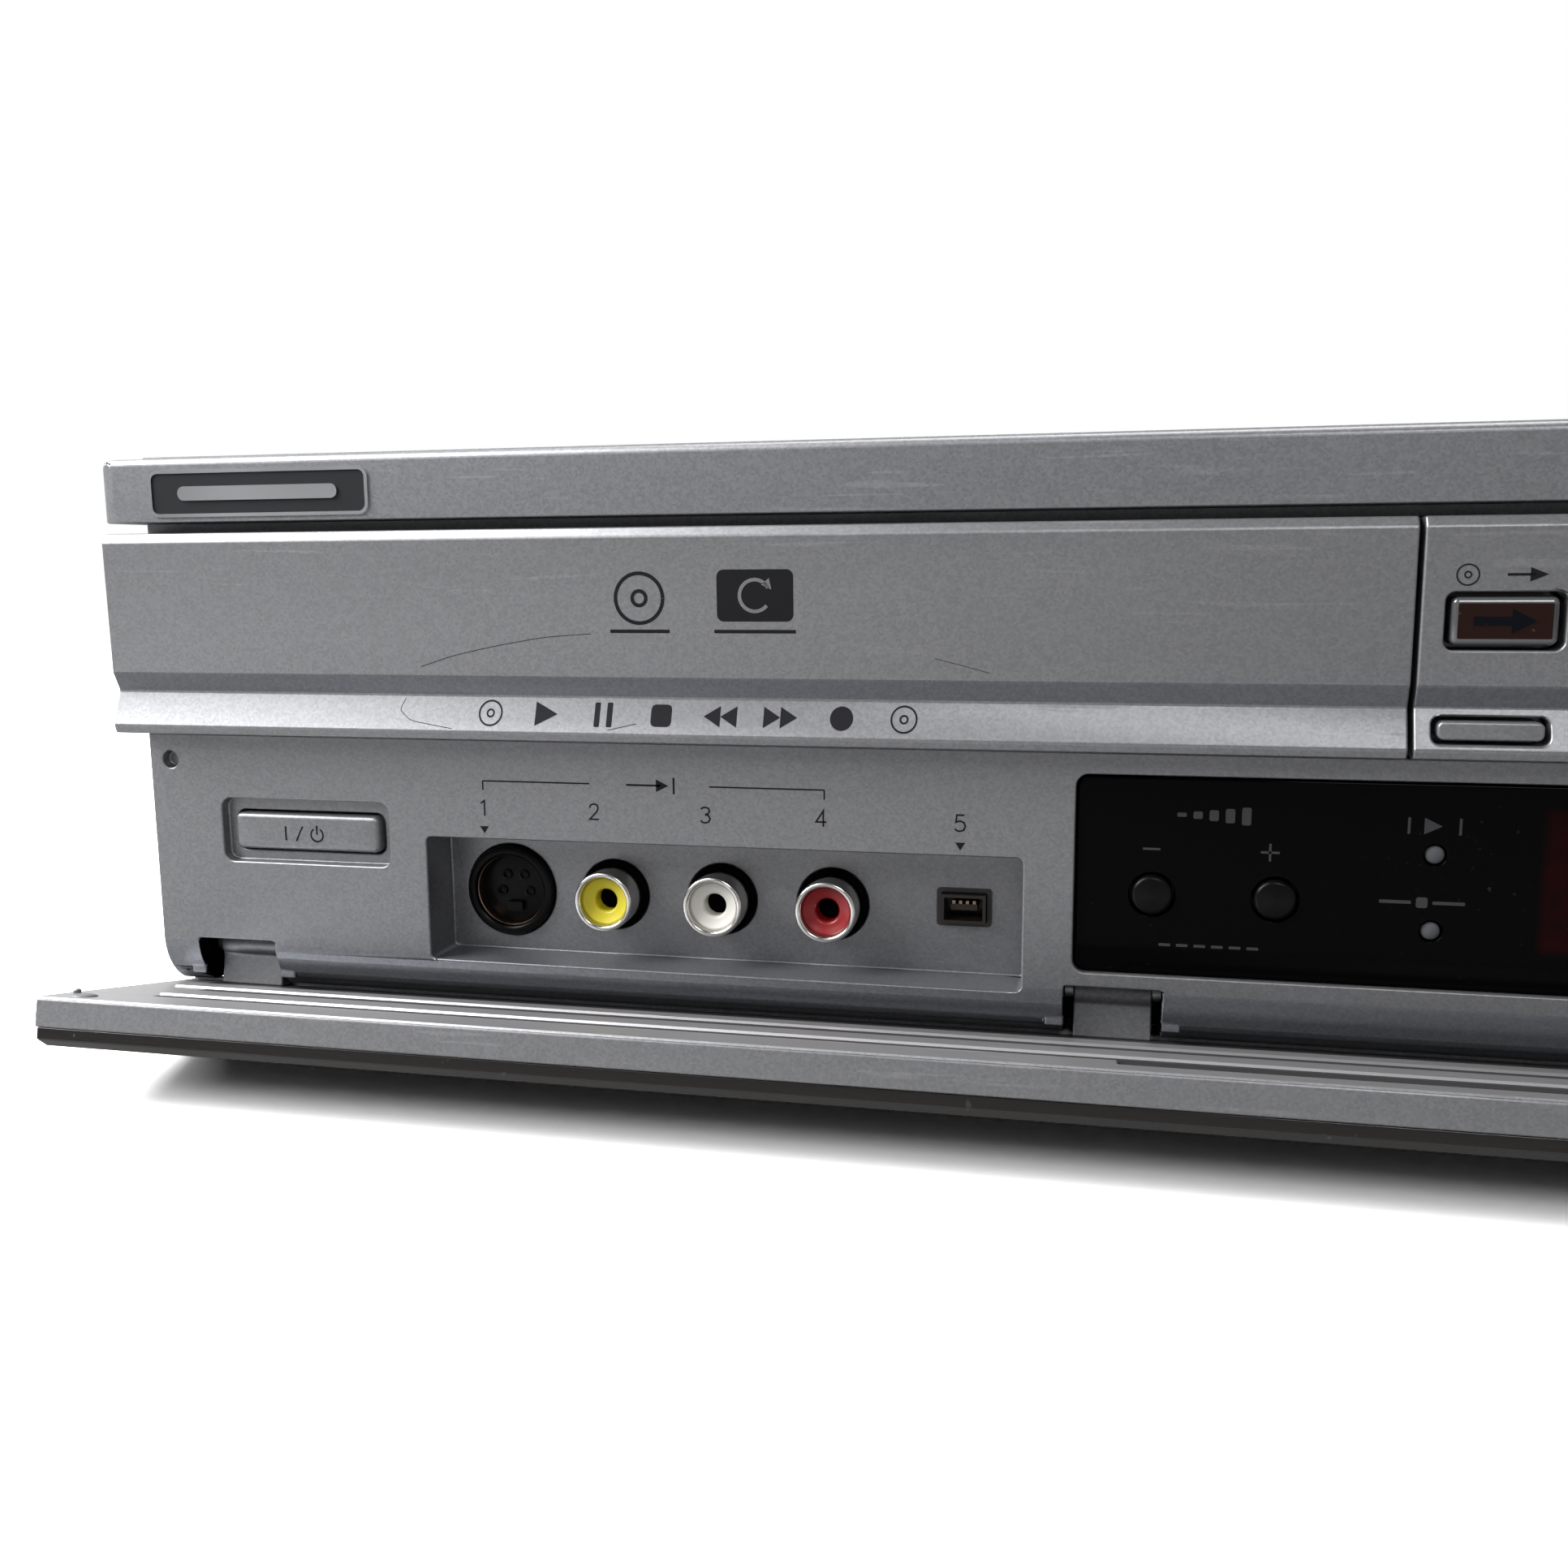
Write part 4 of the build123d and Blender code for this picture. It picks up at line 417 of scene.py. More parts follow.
def turnedPart(profile, x, z, steps=48):
    # A closed profile of (radius, depth) turned about a line along y through (x, z).
    profile = np.asarray(profile, float)
    angle = np.linspace(0, 2 * np.pi, steps, endpoint=False)[None, :]
    radius, depth = profile[:, 0][:, None], profile[:, 1][:, None]
    points = np.stack([x + radius * np.cos(angle), depth + 0 * angle, z + radius * np.sin(angle)], -1)
    return points, gridFaces(len(profile), steps, closeRows=True, closeColumns=True)


def roundedRectangle(width, height, corner, steps=8):
    # Points round a rectangle: four quarter circles joined by straight sides.
    quarter = np.linspace(0, np.pi / 2, steps)
    start = np.arange(4)[:, None] * np.pi / 2
    turn = start + quarter[None, :]
    centreX = (width / 2 - corner) * np.array([1, -1, -1, 1])[:, None]
    centreZ = (height / 2 - corner) * np.array([1, 1, -1, -1])[:, None]
    return np.stack([centreX + corner * np.cos(turn), centreZ + corner * np.sin(turn)], -1).reshape(-1, 2)


def ringPoints(x, z, width, height, corner, inward, deep):
    flat = roundedRectangle(width - 2 * inward, height - 2 * inward, max(corner - inward, 0.05))
    return np.stack([x + flat[:, 0], np.full(len(flat), deep), z + flat[:, 1]], -1)


keyShape = {"skirt": 2.4, "flangeWide": 0.7, "flangeDeep": 0.9, "steps": 5, "rings": (0.35, 0.7, 0.97)}


def pillowKey(x, z, width, height, front, back, key):
    # Rings of a rounded rectangle: flange, skirt, a quarter-circle edge and a face that swells in the middle.
    corner, edge, crown = key["corner"], key["edge"], key["crown"]
    sweep = np.linspace(0, np.pi / 2, keyShape["steps"])
    inset = edge * (1 - np.cos(sweep))
    depth = front + crown + edge * (1 - np.sin(sweep))
    wide = keyShape["flangeWide"]
    rings = [(-wide, back + keyShape["flangeDeep"]), (-wide, back), (0.0, back), *zip(inset, depth)]
    outline = [ringPoints(x, z, width, height, corner, inward, deep) for inward, deep in rings]
    core = ringPoints(x, z, width, height, corner, edge, front + crown)
    middle = np.array([x, 0.0, z])
    for part in keyShape["rings"]:
        ring = core + (middle - core) * np.array([part, 0, part])
        ring[:, 1] = front + crown * np.cos(part * np.pi / 2) ** 2
        outline.append(ring)
    grid = np.stack(outline)
    return grid, tubeFaces(*grid.shape[:2])


def inkPlate(outline, y, thickness=0.025):
    # A flat mark: its outline at the surface and again a hair's breadth in front.
    outline = np.asarray(outline, float)
    front = np.stack([outline[:, 0], np.full(len(outline), y - thickness), outline[:, 1]], -1)
    back = front + np.array([0, thickness + 0.01, 0])
    return np.concatenate([front, back]), tubeFaces(2, len(outline))


def inkLine(path, width, y):
    # A stroke of even width: every point moved to both sides along the mitre of its neighbours.
    path = np.asarray(path, float)
    step = np.diff(path, axis=0)
    step /= np.linalg.norm(step, axis=1)[:, None]
    side = np.stack([-step[:, 1], step[:, 0]], -1)
    before, after = np.vstack([side[:1], side]), np.vstack([side, side[-1:]])
    mitre = before + after
    mitre /= (np.linalg.norm(mitre, axis=1) ** 2 / 2)[:, None]
    left, right = path + mitre * width / 2, path - mitre * width / 2
    return inkPlate(np.vstack([left, right[::-1]]), y)


def inkRing(x, z, outer, inner, y, start=0.0, sweep=2 * np.pi - 0.01, steps=40):
    # Part of a ring between two radii, as one outline; a whole ring keeps a slit thinner than a hair.
    angle = np.linspace(start, start + sweep, steps)
    arc = np.stack([np.cos(angle), np.sin(angle)], -1)
    return inkPlate(np.vstack([arc * outer, arc[::-1] * inner]) + [x, z], y)


def inkDisc(x, z, radius, y, steps=32):
    angle = np.linspace(0, 2 * np.pi, steps, endpoint=False)
    return inkPlate(np.stack([x + radius * np.cos(angle), z + radius * np.sin(angle)], -1), y)


# Camera, lamps and floor
# The camera stands close, 182 mm before the drawer's face and level with it, and looks 13 degrees to the left
# and 9 degrees down. Its angles are turns about the frame's x, y and z.
view = {"at": (139.93, -181.74, 70.08), "angles": (80.85, 0.48, 13.215), "lens": 34.09, "sensor": 36.0,
        "shift": (0.0001, 0.0099)}
camera = addObject("portraitCamera", bpy.data.cameras.new("portraitCamera"))
camera.location = spot(*view["at"])
camera.rotation_euler = [math.radians(angle) for angle in view["angles"]]
camera.data.lens = view["lens"]
camera.data.sensor_width = view["sensor"]
camera.data.shift_x, camera.data.shift_y = view["shift"]
camera.data.clip_start, camera.data.clip_end = 0.01, 50
bpy.context.scene.camera = camera

lamps = {
    "keyPanel": {"at": (-455, -864, 690), "to": (110, 0, 50), "size": (0.6, 0.5), "power": 2.1},
    "leftPanel": {"at": (-450, -150, 600), "to": (100, 0, 20), "size": (0.5, 0.5), "power": 13.0},
    "lowPanel": {"at": (-780, -420, 600), "to": (100, 0, 20), "size": (0.6, 0.5), "power": 7.6},
    "stripPanel": {"at": (400, -900, 700), "to": (190, 0, 50), "size": (0.3, 0.3), "power": 2.6},
    "topPanel": {"at": (214, 500, 950), "to": (214, 0, 20), "size": (1.0, 0.8), "power": 7.0},
    "sideFill": {"at": (1250, -500, 500), "to": (300, 100, 50), "size": (0.9, 0.9), "power": 1.2},
}


def addLamp(name, lamp):
    data = bpy.data.lights.new(name, "AREA")
    data.shape = "RECTANGLE"
    data.size, data.size_y = lamp["size"]
    data.energy = lamp["power"]
    made = addObject(name, data)
    made.location = spot(*lamp["at"])
    aim = spot(*lamp["to"]) - made.location
    made.rotation_euler = aim.to_track_quat("-Z", "Y").to_euler()


for name, lamp in lamps.items():
    addLamp(name, lamp)

room = {"fill": 0.06, "front": 0.1, "behind": 1.0}


def makeRoom():
    # White to the eye and through glass; reflections see white behind the set and a dim room in front of it.
    world = bpy.data.worlds.new("studioRoom")
    bpy.context.scene.world = world
    world.use_nodes = True
    tree = world.node_tree
    tree.nodes.clear()
    rays = addNode(tree, "ShaderNodeLightPath")
    heading = addNode(tree, "ShaderNodeTexCoord").outputs["Generated"]
    axes = addNode(tree, "ShaderNodeSeparateXYZ", {0: heading})
    behind = ramp(tree, axes.outputs["Y"], -0.25, 0.35, 0.0, room["behind"])
    level = maths(tree, "MAXIMUM", room["front"], behind)
    white = maths(tree, "MAXIMUM", rays.outputs["Is Camera Ray"], rays.outputs["Is Transmission Ray"])
    strength = addNode(tree, "ShaderNodeMix", {0: rays.outputs["Is Glossy Ray"], 2: room["fill"], 3: level})
    strength = addNode(tree, "ShaderNodeMix", {0: white, 2: strength.outputs[0], 3: 1.0})
    sky = addNode(tree, "ShaderNodeBackground", {"Color": (1, 1, 1, 1), "Strength": strength.outputs[0]})
    out = addNode(tree, "ShaderNodeOutputWorld")
    tree.links.new(sky.outputs[0], out.inputs["Surface"])


floorLook = {"radius": 6000.0, "middle": (214, 164), "shade": (0.35, 0.35, 0.35, 1),
             "seen": (1.5, 1.5, 1.5, 1), "glowFrom": 0.32, "glowTo": 0.6}


def makeFloor():
    # A wide flat disc, lifted to white far from the part where the camera sees it, also through glass.
    rings, steps = 12, 64
    reach = floorLook["radius"] * np.linspace(0.02, 1, rings)[:, None] ** 2
    angle = np.linspace(0, 2 * np.pi, steps, endpoint=False)[None, :]
    x, y = floorLook["middle"]
    points = np.stack([x + reach * np.cos(angle), y + reach * np.sin(angle), 0 * reach * angle], -1)
    faces = gridFaces(rings, steps, closeColumns=True) + [list(range(steps))]
    mesh = bpy.data.meshes.new("studioFloor")
    mesh.from_pydata(place(points.reshape(-1, 3)).tolist(), [], faces)
    material, tree, shader = newMaterial("floorPaper", Roughness=0.9, Specular_IOR_Level=0.0)
    rays = addNode(tree, "ShaderNodeLightPath")
    seen = maths(tree, "MAXIMUM", rays.outputs["Is Camera Ray"], rays.outputs["Is Transmission Ray"])
    colour = blendColours(tree, seen, floorLook["shade"], floorLook["seen"])
    tree.links.new(colour, shader.inputs["Base Color"])
    reach = addNode(tree, "ShaderNodeVectorMath", {0: objectPlace(tree)}, operation="LENGTH")
    edge = ramp(tree, reach.outputs["Value"], floorLook["glowFrom"], floorLook["glowTo"])
    far = maths(tree, "MULTIPLY", seen, edge)
    shader.inputs["Emission Color"].default_value = (1, 1, 1, 1)
    tree.links.new(far, shader.inputs["Emission Strength"])
    mesh.materials.append(material)
    addObject("studioFloor", mesh)


makeRoom()
makeFloor()
bpy.context.scene.view_settings.view_transform = "Standard"
print("camera, lamps and floor set")


# Painted front; softEdge is each edge's rounding in millimetres
softEdge = {"front": 0.28, "cap": 0.3, "door": 0.35, "panel": 0.15, "small": 0.15}
lid = roundedCopy("tray_lid", "drawer", silverPaint, softEdge["front"])
bezel = roundedCopy("front_bezel", "chassis", silverPaint, softEdge["front"])
flap = roundedCopy("cassette_flap", "cassette_flap", silverPaint, softEdge["front"])
roundedCopy("front_cap", "chassis", capPaint, softEdge["cap"])
doorFrame = roundedCopy("door_frame", "front_door", silverPaint, softEdge["door"])
roundedCopy("door_arms", "front_door", silverPaint, softEdge["front"])
roundedCopy("door_panel", "front_door", look["smokedPanel"], softEdge["panel"])
roundedCopy("display_window", "chassis", displayGloss, softEdge["small"])


def repaint(piece, material, test):
    # Gives the faces that pass the test their own paint; the test takes drawing millimetres and the normal.
    piece.data.materials.append(material)
    slot = len(piece.data.materials) - 1
    for face in piece.data.polygons:
        centre = (np.array(face.center) - zero) / mm
        if test(centre, face.normal):
            face.material_index = slot


shade = {"level": 0.9, "lean": -0.12, "grooveLow": 52.5, "chinTop": 16.05}
hingeSlot = {"top": 18.2, "front": 5.4, "middles": np.array([14.45, 138.45, 289.35, 413.35]), "reach": 8.6}


def inGroove(centre, normal):
    # The leaning faces that look down into the groove over the strip; they take painted shade.
    return -shade["level"] < normal.z < shade["lean"] and centre[2] > shade["grooveLow"]


# Faces deep in the hinge slots, the ears above the pins included, are painted dark as shade.
def inHingeSlot(centre, normal):
    near = np.abs(hingeSlot["middles"] - centre[0]).min() < hingeSlot["reach"]
    within = centre[2] < hingeSlot["top"] and centre[1] > hingeSlot["front"]
    return near and within and normal.z > -shade["level"]


def underLip(centre, normal):
    # The same groove's upper side on the drawer's front and the flap, also given painted shade.
    return normal.z < shade["lean"] and centre[2] > shade["grooveLow"]


# The door's upward faces take the painted highlight.
repaint(doorFrame, paintedHighlightPaint, lambda centre, normal: normal.z > shade["level"])
repaint(lid, paintedShadePaint, underLip)
repaint(flap, paintedShadePaint, underLip)
# The chin below its top line gets painted shade.
repaint(bezel, chinShadePaint, lambda centre, normal: centre[2] < shade["chinTop"])
repaint(bezel, paintedShadePaint, inGroove)
repaint(bezel, look["paintedShadeBlack"], inHingeSlot)
print("painted front dressed")


# Door details, drawn with the door shut and swung open about its pins with the door
hinge = {"y": 9.3, "z": 14.6, "open": math.radians(78.2)}
doorInner = {"face": 3.1, "base": 2.0, "width": 427.8, "valley": 0.03}
ridges = [{"from": 20.7, "to": 25.6, "left": 8.35, "high": 0.35, "keyGap": ()},
          {"from": 30.3, "to": 36.3, "left": 13.6, "high": 0.35, "keyGap": (305.0, 379.0)}]
valleys = [{"from": 14.0, "to": 20.7, "left": 8.35}, {"from": 25.6, "to": 30.3, "left": 13.6},
           {"from": 36.3, "to": 37.6, "left": 13.6}]
rearBead = {"from": 12.55, "to": 13.5, "top": 3.78, "soft": 0.25, "inset": 3.2}
recess = {"from": 37.6, "to": 40.85, "deep": 2.1, "floor": 2.36, "left": 139.6, "rightInset": 22.3}
stop = {"x": 6.9, "z": 42.6, "radius": 1.7, "high": 0.42, "foot": 2.9}


def swung(points):
    # Turns points from the shut door's place to the open door's.
    points = np.array(points, float).reshape(-1, 3)
    y, z = points[:, 1] - hinge["y"], points[:, 2] - hinge["z"]
    c, s = math.cos(hinge["open"]), math.sin(hinge["open"])
    points[:, 1] = hinge["y"] + y * c - z * s
    points[:, 2] = hinge["z"] + y * s + z * c
    return points


def barAlongX(section, left, right):
    # A prism with a section of (y, z) points, closed at both ends.
    section = np.asarray(section, float)
    ends = [np.insert(section, 0, x, 1) for x in (left, right)]
    return swung(np.concatenate(ends)), tubeFaces(2, len(section))


def ridgeSection(low, high, top, soft=0.3):
    base, side = doorInner["base"], top - soft
    return [(base, low), (side, low), (top, low + soft), (top, high - soft), (side, high), (base, high)]


def flatSection(base, top, low, high):
    return [(base, low), (top, low), (top, high), (base, high)]


# The ridges wear the painted highlight paint.
ridgeBars = []
for ridge in ridges:
    section = ridgeSection(ridge["from"], ridge["to"], doorInner["face"] + ridge["high"])
    ends = [ridge["left"], *ridge["keyGap"], doorInner["width"] - ridge["left"]]
    ridgeBars += [barAlongX(section, left, right) for left, right in zip(ends[::2], ends[1::2])]
makePiece("doorRidges", ridgeBars, paintedHighlightPaint, "front_door")
valleyTop = doorInner["face"] + doorInner["valley"]
valleyBars = [barAlongX(flatSection(doorInner["base"], valleyTop, valley["from"], valley["to"]),
                        valley["left"], doorInner["width"] - valley["left"]) for valley in valleys]
makePiece("doorValleys", valleyBars, look["innerShade"], "front_door")
bead = barAlongX(ridgeSection(rearBead["from"], rearBead["to"], rearBead["top"], rearBead["soft"]),
                 rearBead["inset"], doorInner["width"] - rearBead["inset"])
makePiece("doorRearBead", [bead], silverPaint, "front_door")
recessFloor = barAlongX(flatSection(recess["deep"], recess["floor"], recess["from"], recess["to"]),
                        recess["left"], doorInner["width"] - recess["rightInset"])
makePiece("doorRecessFloor", [recessFloor], look["innerTan"], "front_door")
quarter = np.linspace(0, np.pi / 2, 6)
stopProfile = np.stack([np.cos(quarter) * stop["radius"],
                        doorInner["face"] + np.sin(quarter) * stop["high"]], -1)
stopProfile[-1, 0] = pole
stopProfile = [(pole, stop["foot"]), (stop["radius"], stop["foot"]), *stopProfile.tolist()]
stopPart = turnedPart(stopProfile, stop["x"], stop["z"], 32)
makePiece("doorStop", [(swung(stopPart[0]), stopPart[1])], look["greyMoulding"], "front_door")
print("door details made")


def nodeBox(node):
    # A node's two corners and its middle in drawing millimetres.
    low, high = [(np.array(corner) - zero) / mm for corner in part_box(node)]
    return low, high, (low + high) / 2


# Keys. Each stands where its node is; the flange that hides behind the wall is wider than the cap.
powerKey = {"flange": (0.8, 0.8), "corner": 0.9, "edge": 0.7, "crown": 0.12, "finish": silverPaint}
slimKey = {"flange": (0.8, 0.7), "corner": 0.8, "edge": 0.35, "crown": 0.1, "finish": silverPaint}
roundKey = {"flange": (1.1, 1.1), "corner": 2.49, "edge": 0.55, "crown": 0.2, "finish": look["blackKey"]}
pillKey = {"flange": (0.8, 0.8), "corner": 2.4, "edge": 0.5, "crown": 0.15, "finish": silverPaint}
clearKey = {"flange": (0.95, 0.95), "corner": 0.8, "edge": 0.7, "crown": 0.0, "finish": look["clearEdge"]}
keyLook = {"power_button": powerKey, "tray_button": slimKey, "eject_button": slimKey,
           "channel_down_button": roundKey, "channel_up_button": roundKey, "rewind_button": pillKey,
           "play_button": pillKey, "forward_button": pillKey, "dub_left_button": clearKey,
           "dub_right_button": clearKey}


def keyName(node):
    first, *others = node.split("_")[:-1]
    return first + "".join(word.capitalize() for word in others) + "Key"


for node, key in keyLook.items():
    low, high, middle = nodeBox(node)
    width, height = high[0] - low[0] - 2 * key["flange"][0], high[2] - low[2] - 2 * key["flange"][1]
    shape = pillowKey(middle[0], middle[2], width, height, low[1], high[1] - keyShape["skirt"], key)
    makePiece(keyName(node), [shape], key["finish"], node, [node])

# The two clear keys carry a brown film with a dark arrow, one pointing right and one left.
filmLook = {"width": 9.9, "height": 4.0, "corner": 0.15, "arrow": 6.6, "shaft": 1.0, "head": 2.8,
            "headLong": 2.6, "lift": 0.03}
for node, side in (("dub_left_button", 1), ("dub_right_button", -1)):
    low, high, (x, _, z) = nodeBox(node)
    y = low[1]
    film = roundedRectangle(filmLook["width"], filmLook["height"], filmLook["corner"]) + [x, z]
    makePiece(keyName(node) + "Film", [inkPlate(film, y)], look["brownFilm"], node)
    tip, shaft, head = filmLook["arrow"] / 2, filmLook["shaft"] / 2, filmLook["head"] / 2
    neck = tip - filmLook["headLong"]
    arrow = np.array([(-tip, -shaft), (neck, -shaft), (neck, -head), (tip, 0), (neck, head), (neck, shaft),
                      (-tip, shaft)]) * [side, 1.0] + [x, z]
    plates = [inkPlate(arrow[::side], y - filmLook["lift"])]
    makePiece(keyName(node) + "Arrow", plates, look["darkArrow"], node)
print("keys made:", len(keyLook))

# Front sockets: three round ones with coloured inserts, a round one with pins and a small digital one
socket = {"sleeve": 4.15, "bore": 3.36, "pinHole": 1.55, "collar": 4.85, "standOut": 5.35, "dish": 0.55,
          "dishDeep": 1.35, "finishes": ("yellowInsert", "whiteInsert", "redInsert")}
low, high, middle = nodeBox("rca_shells")
sleeve, bore, pinHole = socket["sleeve"], socket["bore"], socket["pinHole"]
tipY, backY, socketZ = low[1], high[1], middle[2]
recessY = tipY + socket["standOut"]
socketXs = np.linspace(low[0] + sleeve, high[0] - sleeve, 3)
roll = np.linspace(0, np.pi, 9)
rim = (sleeve - bore) / 2
lip = np.stack([(sleeve - rim) + rim * np.cos(roll), tipY + rim - rim * np.sin(roll)], -1)
sleeveProfile = [(sleeve, backY), (sleeve, recessY + 0.5), (sleeve - 0.12, recessY), *lip.tolist(),
                 (bore, tipY + 2.4), (bore, backY)]
makePiece("socketSleeves", [turnedPart(sleeveProfile, x, socketZ, 64) for x in socketXs], look["nickel"],
          "chassis", ["rca_shells"])
dish = np.stack([pinHole + socket["dish"] * (1 - np.sin(quarter)),
                 tipY + socket["dishDeep"] + socket["dish"] * (1 - np.cos(quarter))], -1)
insertProfile = [(bore, tipY + 7), (bore, tipY + 1.1), (bore - 0.25, tipY + 0.95), (bore - 0.75, tipY + 1.15),
                 *dish.tolist(), (pinHole, tipY + 6), (pole, tipY + 6), (pole, tipY + 7)]
# The wells are black linings in the pin holes: painted shade.
wall = pinHole - 0.02
wellProfile = [(wall, tipY + 5.9), (wall, tipY + 3.6), (0.05, tipY + 3.6), (0.05, tipY + 5.9)]
for x, finish in zip(socketXs, socket["finishes"]):
    makePiece(finish, [turnedPart(insertProfile, x, socketZ)], look[finish], "chassis", ["rca_inserts"])
    makePiece(finish + "Well", [turnedPart(wellProfile, x, socketZ, 24)], look["paintedShadeBlack"], "chassis")
# A black ring in the gap round each sleeve: painted shade.
collar, inner = socket["collar"], sleeve + 0.03
collarProfile = [(collar, recessY + 0.3), (collar, recessY - 0.35), (collar - 0.2, recessY - 0.5),
                 (inner, recessY - 0.5), (inner, recessY + 0.3)]
makePiece("socketCollars", [turnedPart(collarProfile, x, socketZ) for x in socketXs], look["paintedShadeBlack"],
          "chassis")

roundSocket = {"mouth": 5.2, "coreDeep": 2.5, "pins": [(-2.1, -0.5), (2.1, -0.5), (-1.3, 1.9), (1.3, 1.9)],
               "ferrule": 0.75, "key": (2.4, 1.3, 0.2), "keyDrop": 2.6, "keyHigh": 0.9}
low, high, middle = nodeBox("svideo_jack")
roundX, roundZ, outer = middle[0], middle[2], (high[0] - low[0]) / 2
mouth, frontY, backY = roundSocket["mouth"], low[1], high[1]
coreY = frontY + roundSocket["coreDeep"]
housing = [(outer, backY), (outer, frontY + 0.35), (outer - 0.12, frontY + 0.1), (outer - 0.35, frontY),
           (mouth + 0.25, frontY), (mouth + 0.05, frontY + 0.15), (mouth, frontY + 0.8), (mouth, backY)]
shield = [(mouth - 0.02, backY), (mouth - 0.02, frontY + 0.75), (mouth - 0.12, frontY + 0.65),
          (mouth - 0.22, frontY + 0.75), (mouth - 0.22, backY)]
core = [(mouth - 0.25, backY), (mouth - 0.25, coreY + 0.1), (mouth - 0.8, coreY), (pole, coreY),
        (pole, backY)]
makePiece("roundSocketHousing", [turnedPart(housing, roundX, roundZ, 72)], look["blackKey"], "chassis",
          ["svideo_jack"])
makePiece("roundSocketShield", [turnedPart(shield, roundX, roundZ, 72)], look["dullCopper"], "chassis")
pinRing = roundSocket["ferrule"]
ferrule = [(pinRing, coreY + 0.05), (pinRing, coreY - 0.35), (0.45, coreY - 0.4), (0.4, coreY + 0.05)]
coreParts = [turnedPart(core, roundX, roundZ)]
coreParts += [turnedPart(ferrule, roundX + dx, roundZ + dz, 16) for dx, dz in roundSocket["pins"]]
keyWay = roundedRectangle(*roundSocket["key"]) + [roundX, roundZ - roundSocket["keyDrop"]]
coreParts.append(inkPlate(keyWay, coreY, roundSocket["keyHigh"]))
makePiece("roundSocketCore", coreParts, look["blackKey"], "chassis")

smallSocket = {"outer": (7.3, 5.1, 0.5), "mouth": (6.1, 4.05, 0.25), "contact": (0.42, 0.9, 0.08),
               "pitch": 0.9}
low, high, middle = nodeBox("dv_socket")
slotX, slotZ = middle[0], middle[2]
contact = roundedRectangle(*smallSocket["contact"]) + [slotX - 1.5 * smallSocket["pitch"], slotZ + 0.5]
contacts = [inkPlate(contact + [smallSocket["pitch"] * i, 0], low[1] + 1.2, 0.15) for i in range(4)]
makePiece("smallSocketContacts", contacts, look["dullCopper"], "chassis")
edges = [roundedRectangle(*smallSocket[edge]) + [slotX, slotZ] for edge in ("outer", "mouth")]


def flatRing(outer, inner, back, front):
    # Two outlines, each at two depths, closed into a ring.
    layers = ((outer, back), (outer, front), (inner, front), (inner, back))
    points = np.concatenate([np.insert(outline, 1, y, 1) for outline, y in layers])
    return points, gridFaces(4, len(outer), closeRows=True, closeColumns=True)


makePiece("smallSocketBezel", [flatRing(*edges, recessY + 0.05, recessY - 0.3)], look["blackMatt"], "chassis")
print("sockets made")

# Lamps beside the channel keys: a rod with a domed end, turned about its axis
lampDome = 0.35
low, high, middle = nodeBox("status_leds")
radius = (high[0] - low[0]) / 2
dome = np.stack([radius * np.cos(quarter * 0.99), low[1] + lampDome * (1 - np.sin(quarter))], -1)
lampProfile = [(pole, high[1]), (radius, high[1]), *dome.tolist()]
lampParts = [turnedPart(lampProfile, middle[0], z, 32) for z in (high[2] - radius, low[2] + radius)]
makePiece("statusLamps", lampParts, look["lampGrey"], "chassis", ["status_leds"])

# Marks in ink. Faces lean, so each mark takes its depth from the height: y = start + slope * (z - foot).
faceOf = {"body": (3.6, 0, 0.0), "window": (4.2, 0, 0.0), "power": (3.87, 0, 0.0), "cap": (1.1, 0, 0.0),
          "drawer": (0.2, 55.2, -0.2 / 18.0), "strip": (-0.43, 47.85, 1.83 / 4.75)}


def onFace(face, plates):
    # Leans flat plates onto a face of the front by moving every point along y.
    start, foot, slope = faceOf[face]
    leaned = []
    for points, faces in plates:
        moved = np.array(points, float).reshape(-1, 3)
        moved[:, 1] += start + slope * (moved[:, 2] - foot)
        leaned.append((moved, faces))
    return leaned


def triangle(x, z, width, height, turn=0.0, y=0.0):
    # A triangle pointing along its turn, 0 to the right, counted anticlockwise.
    shape = np.array([(-0.5, -0.5), (0.5, 0.0), (-0.5, 0.5)]) * [width, height]
    c, s = math.cos(turn), math.sin(turn)
    return inkPlate(shape @ np.array([[c, s], [-s, c]]) + [x, z], y)


def bar(x, z, width, height):
    return inkPlate(roundedRectangle(width, height, min(width, height) * 0.2, 3) + [x, z], 0)


digitPaths = {
    "1": [[(0.12, 0.8), (0.38, 1.0), (0.38, 0.0)]],
    "2": [[(0.02, 0.74), (0.1, 0.92), (0.31, 1.0), (0.53, 0.92), (0.6, 0.74), (0.52, 0.52), (0.02, 0.0),
           (0.64, 0.0)]],
    "3": [[(0.02, 0.86), (0.14, 0.97), (0.32, 1.0), (0.52, 0.93), (0.58, 0.76), (0.5, 0.6), (0.28, 0.54)],
          [(0.28, 0.54), (0.52, 0.47), (0.62, 0.27), (0.52, 0.07), (0.3, 0.0), (0.1, 0.04), (0.0, 0.16)]],
    "4": [[(0.46, 0.0), (0.46, 1.0), (0.0, 0.3), (0.66, 0.3)]],
    "5": [[(0.56, 1.0), (0.1, 1.0), (0.05, 0.56), (0.3, 0.64), (0.54, 0.54), (0.62, 0.32), (0.52, 0.08),
           (0.28, 0.0), (0.08, 0.05), (0.0, 0.16)]],
}


def digit(text, x, z, height, stroke=0.22):
    # Strokes on a cell 0.64 wide and 1 high, scaled to the height and centred on x.
    return [inkLine(np.array(path) * height + [x - 0.32 * height, z], stroke, 0) for path in digitPaths[text]]


def discSign(x, z, radius):
    return [inkRing(x, z, radius, radius * 0.86, 0), inkRing(x, z, radius * 0.34, radius * 0.2, 0)]


